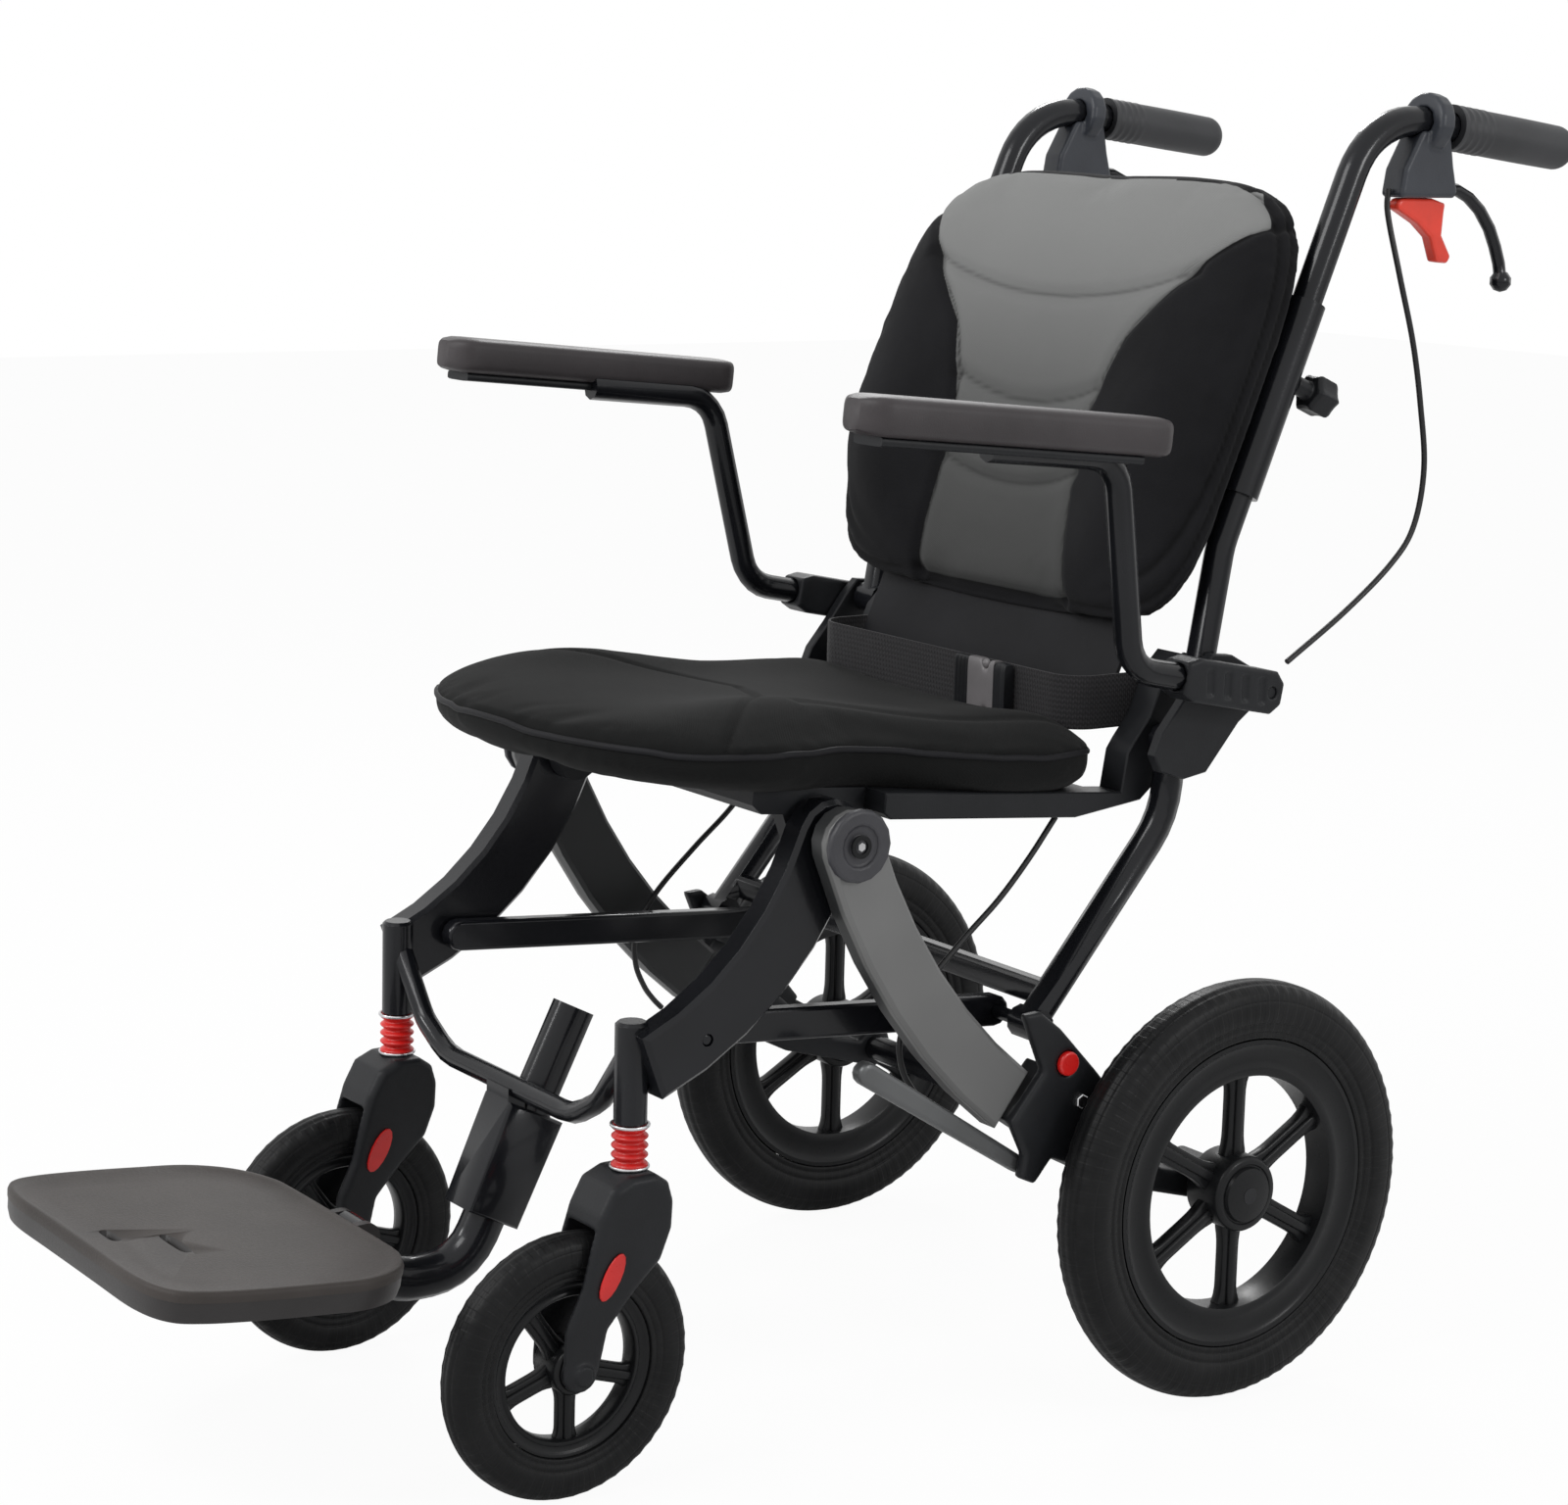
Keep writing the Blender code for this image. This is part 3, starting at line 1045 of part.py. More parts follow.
def seat_side(side):
    """Rail, outer cheek and hinge pins of the seat frame on one side."""
    low = PAN_LIFT
    high = PAN_LIFT + PAN_THICKNESS
    rail_line = [(RAIL_START, high), (RAIL_START, low + 0.004), (RAIL_START + 0.006, low),
                 (0.205, low), (0.262, low + 0.012), (0.291, 0.052), (0.309, 0.104),
                 (0.301, 0.124), (0.283, 0.127), (0.273, 0.115), (0.262, 0.082),
                 (0.250, 0.064), (0.2455, 0.056), (0.2435, high)]
    cheek_line = [(0.246, 0.049), (0.268, 0.044), (0.288, 0.049), (0.300, 0.066), (0.313, 0.084),
                  (0.329, 0.098), (0.329, 0.119), (0.312, 0.126), (0.300, 0.131), (0.282, 0.131),
                  (0.273, 0.120), (0.258, 0.096), (0.244, 0.076), (0.239, 0.060)]
    x_low, x_high = mirrored(side, RAIL_INNER_X, RAIL_OUTER_X)
    rail = prism("rail", seat_outline(rail_line), x_low, x_high, "plastic_black", 0.001)
    x_low, x_high = mirrored(side, SEAT_CHEEK_INNER_X, SEAT_CHEEK_OUTER_X)
    cheek = prism("cheek", seat_outline(cheek_line), x_low, x_high, "plastic_black", 0.001)
    pins = [rod("pin", (side * (RAIL_OUTER_X - 0.002), *place),
                (side * (SEAT_CHEEK_INNER_X + 0.002), *place), HINGE_PIN_RADIUS, 12)
            for place in (STRUT_PIVOT, BACK_PIVOT)]
    arm_pin = rod("pin", (side * (SEAT_CHEEK_OUTER_X - 0.002), *ARM_PIVOT),
                  (side * (ARM_BRACKET_OUTER_X - 0.002), *ARM_PIVOT), HINGE_PIN_RADIUS, 12)
    return [rail, cheek, arm_pin, *pins]


def round_square(s, t, power):
    """Move a point of the square -1..1 so that the square's edge becomes a superellipse."""
    largest = max(abs(s), abs(t))
    if largest < 1e-9:
        return s, t
    spread = (abs(s / largest) ** power + abs(t / largest) ** power) ** (-1 / power)
    return s * spread, t * spread


def stretched(index, count):
    """Grid coordinate from -1 to 1, with its lines drawn together towards the edges."""
    reach = math.pi / 2 * GRID_STRETCH
    return math.sin(reach * (2 * index / count - 1)) / math.sin(reach)


def cushion(name, columns, rows, corner, place, top, side_height, rings, finish):
    """A closed pad: crowned top grid, drawn-in sides and a flat bottom.

    place(a, b, height) gives the world point and top(a, b, edge) the crown above the side.
    corner(t, depth) is the power of the outline, from depth 0 at the top to 1 at the bottom.
    Each ring is a share of the full size, a share of the side's height and a depth.
    """
    bm = bmesh.new()
    across = [stretched(column, columns) for column in range(columns + 1)]
    along = [stretched(row, rows) for row in range(rows + 1)]

    def rim_height(a, b):
        return side_height + top(a, b, 1.0)

    grid = []
    for t in along:
        line = []
        for s in across:
            a, b = round_square(s, t, corner(t, 0.0))
            line.append(bm.verts.new(place(a, b, side_height + top(a, b, max(abs(s), abs(t))))))
        grid.append(line)
    for row in range(rows):
        for column in range(columns):
            bm.faces.new((grid[row][column], grid[row][column + 1],
                          grid[row + 1][column + 1], grid[row + 1][column]))
    around = [(s, -1.0) for s in across[:-1]] + [(1.0, t) for t in along[:-1]] + [
        (s, 1.0) for s in across[:0:-1]] + [(-1.0, t) for t in along[:0:-1]]
    loops = [grid[0][:-1] + [line[-1] for line in grid[:-1]] + grid[-1][:0:-1] + [
        line[0] for line in grid[:0:-1]]]
    for share, height, depth in rings:
        loop = []
        for s, t in around:
            rim = round_square(s, t, corner(t, 0.0))
            a, b = round_square(s, t, corner(t, depth))
            loop.append(bm.verts.new(place(a * share, b * share, rim_height(*rim) * height)))
        loops.append(loop)
    count = len(around)
    for upper, lower in zip(loops, loops[1:]):
        for index in range(count):
            after = (index + 1) % count
            bm.faces.new((upper[index], lower[index], lower[after], upper[after]))
    bm.faces.new(loops[-1])
    return finish_mesh(name, bm, finish, 60)


def seat_half_width(share):
    """Half width of the seat from front (-1) to rear (+1): a lobe, a waist, then the hips."""
    waist = SEAT_WAIST * math.exp(-((share + 0.14) / 0.42) ** 2)
    return SEAT_HALF_WIDTH * (1 - 0.018 * (share + 1) / 2) - waist


def groove(distance, width, depth):
    """A soft sewn channel of the given half width."""
    return -depth * math.exp(-(distance / width) ** 2)


def seat_crown(a, b, edge):
    """Crown of the seat: full middle, rolled front, a chevron channel and a border seam."""
    swell = SEAT_CROWN * (1 - edge ** 4)
    chevron = groove((b + 0.30) - 0.55 * (1 - abs(a) / 0.62) if abs(a) < 0.62 else 1.0, 0.075, 0.0025)
    border = groove(edge - 0.86, 0.05, 0.0016)
    front_roll = -0.008 * math.exp(-((b + 1.0) / 0.42) ** 2)
    dish = -0.004 * math.exp(-((b - 0.45) / 0.35) ** 2) * (1 - a * a)
    lobes = 0.35 + 0.65 * math.exp(-((b + 0.30) / 0.38) ** 2) + 0.40 * math.exp(-((b - 0.90) / 0.30) ** 2)
    bolster = SEAT_BOLSTER * lobes * math.exp(-((abs(a) - 0.70) / 0.24) ** 2) * (1 - edge ** 6)
    return swell + chevron + border + front_roll + dish + bolster


def build_seat_cushion():
    centre = (SEAT_FRONT + SEAT_REAR) / 2
    half = (SEAT_REAR - SEAT_FRONT) / 2

    def place(a, b, height):
        return (a * seat_half_width(b), *seat_point(centre + b * half, SEAT_BOTTOM + height))

    def corner(t, depth):
        return 4.2 + 1.9 * t

    return cushion("seat_cushion", 14, 16, corner, place, seat_crown, SEAT_SIDE_HEIGHT,
                   ((1.0, 0.88, 0.0), (0.982, 0.45, 0.0), (0.955, 0.0, 0.0)), "fabric_black")


def back_half_width(share):
    """Half width of the back cushion from low (-1) to high (+1)."""
    return BACK_CUSHION_HALF_WIDTH * (1 - 0.015 * max(0.0, share) ** 2)


def back_crown(a, b, edge):
    """Crown of the back: side wings stand a little proud, with three curved channels."""
    swell = BACK_CROWN * (1 - edge ** 5)
    wings = 0.006 * math.exp(-((abs(a) - 0.72) / 0.20) ** 2) * (1 - edge ** 8)
    channels = sum(groove(b - level - 0.10 * a * a / 0.3, 0.055, 0.0028) if abs(a) < 0.45 else 0.0
                   for level in (0.42, 0.02, -0.34))
    bottom = -0.012 * max(0.0, -b - 0.45) / 0.55
    return swell + wings + channels + bottom


def lumbar_flap(front):
    """Flat padded flap sewn to the back of the cushion; it closes the gap above the belt."""
    rear = front - LUMBAR_THICKNESS
    half = RAIL_INNER_X - LUMBAR_RAIL_GAP
    ease = LUMBAR_EASE
    corners = [(LUMBAR_LOW, rear + ease), (LUMBAR_LOW + ease, rear), (LUMBAR_HIGH - ease, rear),
               (LUMBAR_HIGH, rear + ease), (LUMBAR_HIGH, front - ease), (LUMBAR_HIGH - ease, front),
               (LUMBAR_LOW + ease, front), (LUMBAR_LOW, front - ease)]
    return prism("flap", [back_point(*corner) for corner in corners], -half, half, "fabric_grey")


def build_back_cushion():
    centre = (BACK_CUSHION_LOW + BACK_CUSHION_HIGH) / 2
    half = (BACK_CUSHION_HIGH - BACK_CUSHION_LOW) / 2
    rear = POST_AXIS_FORWARD + BACK_SLEEVE_RADIUS + SEAT_GAP

    def place(a, b, height):
        tall = half * (1 - BACK_FRONT_TAPER * height / BACK_EDGE_THICKNESS)
        return (a * back_half_width(b), *back_point(centre + b * tall, rear + height))

    def corner(t, depth):
        return 2.9 + 1.4 * t + BACK_LOW_CORNER * max(0.0, -t) ** 2 + (1.3 - 0.4 * t) * depth

    pad = cushion("back_cushion", 14, 16, corner, place, back_crown, BACK_EDGE_THICKNESS,
                  ((1.0, 0.88, 0.25), (0.995, 0.45, 0.75), (0.965, 0.0, 1.0)), "fabric_grey")
    return join_solids(pad, lumbar_flap(rear + LUMBAR_SINK))


def belt_plan():
    """Plan route of the belt: along one rail, across the seat, and back along the other rail."""
    side_x = RAIL_INNER_X - SEAT_GAP - BELT_THICKNESS / 2
    back_y = seat_point(BELT_ALONG + 0.072, 0)[0]
    front_y = seat_point(BELT_ALONG, BELT_UP)[0]
    corners = [(-side_x, back_y, 0), (-side_x, front_y, 0), (side_x, front_y, 0), (side_x, back_y, 0)]
    return rounded_route(corners, (0.022, 0.022), 18)


def build_lap_belt():
    """One webbing strap that stands on edge, anchored inside the two rails."""
    middle_z = seat_point(BELT_ALONG, BELT_UP)[1]
    half = BELT_WIDTH / 2
    route = belt_plan()
    bm = bmesh.new()
    rings = []
    for index, place in enumerate(route):
        before = route[max(index - 1, 0)]
        after = route[min(index + 1, len(route) - 1)]
        along = (after - before).normalized()
        outward = Vector((along.y, -along.x, 0)) * BELT_THICKNESS / 2
        rings.append([bm.verts.new((place.x + way * outward.x, place.y + way * outward.y, middle_z + up))
                      for way, up in ((-1, -half), (1, -half), (1, half), (-1, half))])
    for before, after in zip(rings, rings[1:]):
        for index in range(4):
            other = (index + 1) % 4
            bm.faces.new((before[index], before[other], after[other], after[index]))
    bm.faces.new(rings[0])
    bm.faces.new(rings[-1])
    return finish_mesh("lap_belt", bm, "webbing")


def build_belt_buckle():
    """Side-release buckle in front of the strap, a little to the sitter's left."""
    y, z = seat_point(BELT_ALONG, BELT_UP)
    rear_y = y - BELT_THICKNESS / 2 - SEAT_GAP
    half = BUCKLE_WIDTH / 2
    tall = BUCKLE_HEIGHT / 2
    outline = [(-half, -tall * 0.80), (-half * 0.62, -tall), (half * 0.70, -tall), (half, -tall * 0.78),
               (half, tall * 0.78), (half * 0.70, tall), (-half * 0.62, tall), (-half, tall * 0.80)]
    bm = bmesh.new()
    front = [bm.verts.new((BUCKLE_X + a, rear_y - BUCKLE_THICKNESS, z + b)) for a, b in outline]
    rear = [bm.verts.new((BUCKLE_X + a, rear_y, z + b)) for a, b in outline]
    bm.faces.new(front)
    bm.faces.new(list(reversed(rear)))
    for index in range(len(outline)):
        after = (index + 1) % len(outline)
        bm.faces.new((front[index], rear[index], rear[after], front[after]))
    bmesh.ops.recalc_face_normals(bm, faces=bm.faces)
    rim = [item for item in bm.edges if all(vert in front for vert in item.verts)]
    bmesh.ops.bevel(bm, geom=rim, offset=0.003, segments=1, profile=0.5, affect="EDGES")
    return finish_mesh("belt_buckle", bm, "plastic_grey")


def pad_point(along, up):
    """(y, z) on the armrest pad: along to the rear from its front, up from its top face."""
    slope = math.radians(ARM_PAD_SLOPE_DEG)
    return (ARM_PAD_FRONT_Y + along * math.cos(slope) + up * math.sin(slope),
            ARM_PAD_FRONT_TOP_Z - along * math.sin(slope) + up * math.cos(slope))


def build_armrest_pad(side):
    """Moulded pad: rounded ends, a deeper nose, and a flat top."""
    length = ARM_PAD_LENGTH
    thick = ARM_PAD_THICKNESS
    outline = [(0.000, -0.006), (0.004, 0.0), (length - 0.006, 0.0), (length, -0.005),
               (length - 0.002, -thick + 0.003), (length - 0.008, -thick), (0.060, -thick),
               (0.048, -thick + 0.004), (0.014, -thick + 0.001), (0.003, -thick + 0.006)]
    half = ARM_PAD_WIDTH / 2
    x_low, x_high = mirrored(side, ARM_PAD_X - half, ARM_PAD_X + half)
    return prism(side_name("armrest_pad", side), [pad_point(a, b) for a, b in outline], x_low, x_high,
                 "pad_brown", 0.0035)


def arm_bracket_point(along, up):
    """(y, z) measured from the armrest hinge along the bracket to the rear, and square to it."""
    tilt = math.radians(ARM_BRACKET_TILT_DEG)
    return (ARM_PIVOT[0] + along * math.cos(tilt) + up * math.sin(tilt),
            ARM_PIVOT[1] - along * math.sin(tilt) + up * math.cos(tilt))


def build_armrest_tube(side):
    """Tray under the pad and the bent tube down to the hinge bracket, as one weldment."""
    under = -ARM_PAD_THICKNESS - SEAT_GAP
    half = ARM_PAD_WIDTH / 2 - 0.008
    tray_line = [pad_point(0.030, under), pad_point(0.165, under),
                 pad_point(0.165, under - ARM_TRAY_THICKNESS), pad_point(0.030, under - ARM_TRAY_THICKNESS)]
    x_low, x_high = mirrored(side, ARM_PAD_X - half, ARM_PAD_X + half)
    tray = prism(side_name("armrest_tube", side), tray_line, x_low, x_high, edge=0.001)
    drop = under - ARM_TUBE_RADIUS
    high_x = side * ARM_TUBE_HIGH_X
    low_x = side * ARM_TUBE_LOW_X
    corners = [(high_x, *pad_point(0.120, drop)), (high_x, *pad_point(0.228, drop)),
               (low_x, *arm_bracket_point(ARM_BRACKET_MOUTH - 0.042, 0)),
               (low_x, *arm_bracket_point(ARM_BRACKET_MOUTH + ARM_TUBE_INSERT, 0))]
    route = rounded_route(corners, (0.030, 0.030), 15)
    tube = bent_tube("tube", route, ARM_TUBE_RADIUS, 2)
    return join_solids(tray, tube)


def build_arm_bracket(side):
    """Ribbed hinge bracket with a socket for the armrest tube."""
    x_low, x_high = mirrored(side, ARM_BRACKET_INNER_X, ARM_BRACKET_OUTER_X)
    half = ARM_BRACKET_HEIGHT / 2
    front = ARM_BRACKET_MOUTH
    outline = [(front, -half * 0.72), (front + 0.010, -half), (0.002, -half), (0.010, -half * 0.5),
               (0.010, half * 0.5), (0.002, half), (front + 0.010, half), (front, half * 0.72)]
    body = prism(side_name("arm_bracket", side), [arm_bracket_point(a, b) for a, b in outline],
                 x_low, x_high, "plastic_black", 0.0015)
    x = side * ARM_TUBE_LOW_X
    socket = rod("socket", (x, *arm_bracket_point(front - 0.02, 0)),
                 (x, *arm_bracket_point(front + ARM_TUBE_INSERT + 0.002, 0)),
                 ARM_TUBE_RADIUS + SEAT_GAP, 16)
    hole = rod("hole", (side * (ARM_BRACKET_INNER_X - 0.01), *ARM_PIVOT),
               (side * (ARM_BRACKET_OUTER_X + 0.01), *ARM_PIVOT), HINGE_PIN_RADIUS + RUN_GAP, 12)
    ribs = [block("rib", (side * ARM_BRACKET_OUTER_X, *arm_bracket_point(front + 0.022 + 0.016 * index, 0)),
                  (0.003, 0.006, ARM_BRACKET_HEIGHT * 0.62)) for index in range(4)]
    return cut_away(body, socket, hole, *ribs)


def build_back_frame():
    """Two posts with sleeves at their tops, and two cross bars behind the cushion."""
    parts = []
    top = BACK_SLEEVE_START + BACK_SLEEVE_LENGTH
    for side in (1, -1):
        x = side * STRUT_SIDE_X
        corners = [(x, *BACK_PIVOT), (x, *back_point(0.085, POST_AXIS_FORWARD)),
                   (x, *back_point(BACK_SLEEVE_START + 0.012, POST_AXIS_FORWARD))]
        route = rounded_route(corners, (0.06,), 8)
        parts.append(bent_tube("post", route, BACK_TUBE_RADIUS, 3))
        parts.append(rod("eye", (x - EYE_HALF_WIDTH, *BACK_PIVOT), (x + EYE_HALF_WIDTH, *BACK_PIVOT),
                         BACK_TUBE_RADIUS + 0.0012, 14))
        parts.append(rod("sleeve", (x, *back_point(BACK_SLEEVE_START, POST_AXIS_FORWARD)),
                         (x, *back_point(top, POST_AXIS_FORWARD)), BACK_SLEEVE_RADIUS, 16))
    forward = POST_AXIS_FORWARD + BACK_SLEEVE_RADIUS - BACK_BAR_RADIUS - SEAT_GAP
    for along in (BACK_SLEEVE_START + 0.010, top - 0.025):
        place = back_point(along, forward)
        half = STRUT_SIDE_X - BACK_SLEEVE_RADIUS * 0.37
        parts.append(rod("bar", (-half, *place), (half, *place), BACK_BAR_RADIUS, 10))
    frame = rename(parts[0], "back_frame")
    join_solids(frame, *parts[1:])
    cuts = []
    for side in (1, -1):
        x = side * STRUT_SIDE_X
        bore_start = top - HANDLE_INSERT - HANDLE_TRAVEL - 0.004
        cuts.append(rod("bore", (x, *back_point(bore_start, POST_AXIS_FORWARD)),
                        (x, *back_point(top + 0.02, POST_AXIS_FORWARD)), HANDLE_RADIUS + RUN_GAP, 16))
        cuts.append(rod("hole", (side * (STRUT_SIDE_X - 0.03), *BACK_PIVOT),
                        (side * (STRUT_SIDE_X + 0.03), *BACK_PIVOT), HINGE_PIN_RADIUS + RUN_GAP, 12))
        knob_foot = back_point(top - KNOB_ALONG + 0.037, POST_AXIS_FORWARD)
        outward = back_normal()
        start = Vector((x, *knob_foot)) + outward * (HANDLE_RADIUS + 0.0008)
        cuts.append(rod("thread", start, start + outward * 0.01, 0.0034, 10))
    return cut_away(frame, *cuts)


def back_normal():
    """Unit vector square to the back, pointing behind it."""
    lean = math.radians(BACK_LEAN_DEG)
    return Vector((0.0, math.cos(lean), -math.sin(lean)))


def handle_frame(side):
    """The handle's sleeve mouth, its straight direction and its grip direction."""
    top = BACK_SLEEVE_START + BACK_SLEEVE_LENGTH
    mouth = Vector((side * STRUT_SIDE_X, *back_point(top, POST_AXIS_FORWARD)))
    lean = math.radians(BACK_LEAN_DEG)
    droop = math.radians(HANDLE_DROOP_DEG)
    rise = Vector((0.0, math.sin(lean), math.cos(lean)))
    reach = Vector((0.0, math.cos(droop), -math.sin(droop)))
    return mouth, rise, reach


def handle_route(side):
    mouth, rise, reach = handle_frame(side)
    corner = mouth + rise * HANDLE_STRAIGHT
    return rounded_route([mouth - rise * HANDLE_INSERT, corner, corner + reach * HANDLE_END],
                         (HANDLE_BEND_RADIUS,), 9)


def build_handle_tube(side):
    """Height-adjusting tube that slides in the sleeve and bends back into the push handle."""
    return bent_tube(side_name("handle_tube", side), handle_route(side), HANDLE_RADIUS, 3)


def build_grip(side):
    """Rubber grip, a little fatter at its middle and closed at its end."""
    mouth, rise, reach = handle_frame(side)
    corner = mouth + rise * HANDLE_STRAIGHT
    end = GRIP_END
    low = end - GRIP_LENGTH
    bore = HANDLE_RADIUS + SEAT_GAP
    profile = [(low, bore), (low, GRIP_RADIUS + 0.0012), (low + 0.004, GRIP_RADIUS + 0.0012),
               (low + 0.006, GRIP_RADIUS - 0.0016), (low + 0.040, GRIP_RADIUS),
               (end - 0.010, GRIP_RADIUS), (end - 0.003, GRIP_RADIUS - 0.003),
               (end, GRIP_RADIUS - 0.008), (end, 0), (HANDLE_END + SEAT_GAP, 0),
               (HANDLE_END + SEAT_GAP, bore)]
    return turned(side_name("grip", side), profile, 14, corner, reach, "plastic_black")


def clamp_frame(side):
    """Middle of the clamp ring on the grip's line."""
    mouth, rise, reach = handle_frame(side)
    return mouth + rise * HANDLE_STRAIGHT + reach * CLAMP_ALONG, reach


def lever_pivot(side):
    centre, _ = clamp_frame(side)
    return Vector((centre.x, centre.y + 0.016, centre.z - CLAMP_HEIGHT + 0.0065))


def catch_pivot(side):
    centre, _ = clamp_frame(side)
    return Vector((centre.x, centre.y - 0.025, centre.z - CLAMP_HEIGHT - 0.0055))


def build_lever_clamp(side):
    """Clamp ring on the handle with the lever body hanging under it."""
    centre, reach = clamp_frame(side)
    low = centre.z - CLAMP_HEIGHT
    outline = [(centre.y - 0.014, centre.z - 0.004), (centre.y - 0.030, low + 0.020),
               (centre.y - 0.033, low + 0.002), (centre.y - 0.031, low), (centre.y + 0.020, low),
               (centre.y + 0.023, low + 0.004), (centre.y + 0.018, low + 0.022),
               (centre.y + 0.013, centre.z - 0.004)]
    body = prism(side_name("lever_clamp", side), outline, centre.x - CLAMP_HALF_WIDTH,
                 centre.x + CLAMP_HALF_WIDTH, "plastic_black", 0.002)
    ring = turned("ring", ring_profile(-CLAMP_RING_WIDTH / 2, CLAMP_RING_WIDTH / 2, 0.008,
                                       CLAMP_RING_RADIUS, 0.002), 16, centre, reach)
    join_solids(body, ring)
    bore = bent_tube("bore", handle_route(side), HANDLE_RADIUS + SEAT_GAP, 3)
    pivot = lever_pivot(side)
    slot = block("slot", (centre.x, pivot.y + 0.008, pivot.z - 0.004),
                 (2 * CLAMP_SLOT_HALF, 0.034, 0.022))
    return cut_away(body, bore, slot)


def build_brake_lever(side):
    """Curved bar lever with a ball end, hung on a pin between the clamp's ears."""
    pivot = lever_pivot(side)
    offsets = [(-0.004, 0.001), (0.016, -0.001), (0.028, -0.006), (0.040, -0.015), (0.051, -0.028),
               (0.058, -0.041), (0.063, -0.053), (0.066, -0.066)]
    route = [pivot + Vector((0, back, up)) for back, up in offsets]
    lever = bent_tube(side_name("brake_lever", side), route, LEVER_RADIUS, 2, "frame_black")
    tip = route[-1]
    arc = [(-LEVER_BALL_RADIUS * math.cos(math.pi * i / 5), LEVER_BALL_RADIUS * math.sin(math.pi * i / 5))
           for i in range(6)]
    arc[0] = (-LEVER_BALL_RADIUS, 0.0)
    arc[-1] = (LEVER_BALL_RADIUS, 0.0)
    ball = turned("ball", arc, 8, tip, (0, 0, 1))
    eye = rod("eye", pivot - Vector((CLAMP_SLOT_HALF - 0.0006, 0, 0)),
              pivot + Vector((CLAMP_SLOT_HALF - 0.0006, 0, 0)), LEVER_RADIUS + 0.0008, 10)
    return join_solids(lever, ball, eye)


def build_brake_catch(side):
    """Red parking catch under the lever body, with its thumb finger."""
    centre, _ = clamp_frame(side)
    top = centre.z - CLAMP_HEIGHT - SEAT_GAP
    y = centre.y
    pivot = catch_pivot(side)
    outline = arc_points((pivot.y, pivot.z), top - pivot.z, 215, 90, 4)
    outline += [(y + 0.004, top), (y + 0.017, top - 0.0035), (y + 0.016, top - 0.010),
                (y + 0.015, top - 0.026), (y + 0.025, top - 0.041), (y + 0.022, top - 0.046),
                (y + 0.011, top - 0.045), (y + 0.004, top - 0.028), (y - 0.009, top - 0.018)]
    return prism(side_name("brake_catch", side), outline, centre.x - CATCH_HALF_WIDTH,
                 centre.x + CATCH_HALF_WIDTH, "catch_red", 0.0015)


def knob_seat(side):
    """Middle of the sleeve where the clamp knob screws in."""
    top = BACK_SLEEVE_START + BACK_SLEEVE_LENGTH
    return Vector((side * STRUT_SIDE_X, *back_point(top - KNOB_ALONG + 0.037, POST_AXIS_FORWARD)))


def build_clamp_knob(side):
    """Star knob that clamps the handle tube in its sleeve."""
    outward = back_normal()
    base = knob_seat(side)
    start = BACK_SLEEVE_RADIUS + SEAT_GAP
    head = start + KNOB_NECK
    neck = turned(side_name("clamp_knob", side),
                  [(HANDLE_RADIUS + 0.0012, 0), (HANDLE_RADIUS + 0.0012, 0.0030),
                   (start, 0.0030), (start, 0.0068), (head + 0.002, 0.0068), (head + 0.002, 0)], 10,
                  base, outward, "plastic_black")
    bm = bmesh.new()
    across = Vector((1, 0, 0))
    up = outward.cross(across)
    steps = KNOB_LOBES * 3
    rings = []
    for along, scale in ((head, 0.84), (head + 0.003, 1.0), (head + KNOB_LENGTH - 0.004, 1.0),
                         (head + KNOB_LENGTH, 0.80)):
        ring = []
        for index in range(steps):
            angle = 2 * math.pi * index / steps
            radius = KNOB_RADIUS * (0.88 + 0.12 * math.cos(KNOB_LOBES * angle)) * scale
            ring.append(bm.verts.new(base + outward * along + across * radius * math.cos(angle)
                                     + up * radius * math.sin(angle)))
        rings.append(ring)
    for before, after in zip(rings, rings[1:]):
        for index in range(steps):
            other = (index + 1) % steps
            bm.faces.new((before[index], before[other], after[other], after[index]))
    bm.faces.new(rings[0])
    bm.faces.new(rings[-1])
    star = finish_mesh("star", bm, "plastic_black")
    return join_solids(neck, star)


def build_brake_cable(side):
    """Outer cable from the lever body down behind the back to the seat's rear corner."""
    centre, _ = clamp_frame(side)
    start = Vector((centre.x, centre.y - 0.0335 - CABLE_RADIUS, centre.z - CLAMP_HEIGHT + 0.006))
    x = side * (STRUT_SIDE_X + BRAKE_CABLE_OFFSET)
    points = [start, start + Vector((side * 0.001, 0.0, -0.018)), Vector((x, 0.155, 0.783)),
              Vector((x, 0.172, 0.735)), Vector((x, 0.183, 0.690)), Vector((x, 0.190, 0.645)),
              Vector((x, 0.183, 0.604)), Vector((x, 0.163, 0.578)), Vector((x, 0.120, 0.546)),
              Vector((x + side * 0.004, 0.062, 0.514))]
    return bent_tube(side_name("brake_cable", side), smooth_route(points, 1), CABLE_RADIUS, 2,
                     "cable_black")


def build_lower_cable(side):
    """Brake cable from under the seat rail, bowed forward and down to the rear leg's inner face."""
    x = LOWER_CABLE_X
    end_x = REAR_LEG_INNER_X - SEAT_GAP - CABLE_RADIUS
    points = [(x, -0.111, 0.4128), (x, -0.133, 0.386), (x, -0.158, 0.360), (x, -0.188, 0.335),
              (x, -0.222, 0.303), (x, -0.238, 0.275), (x + 0.002, -0.237, 0.251),
              (x + 0.007, -0.226, 0.231), (end_x, -0.214, 0.218), (end_x, -0.206, 0.210)]
    return bent_tube(side_name("lower_cable", side), smooth_route([(side * a, b, c) for a, b, c in points], 1),
                     CABLE_RADIUS, 2, "cable_black")


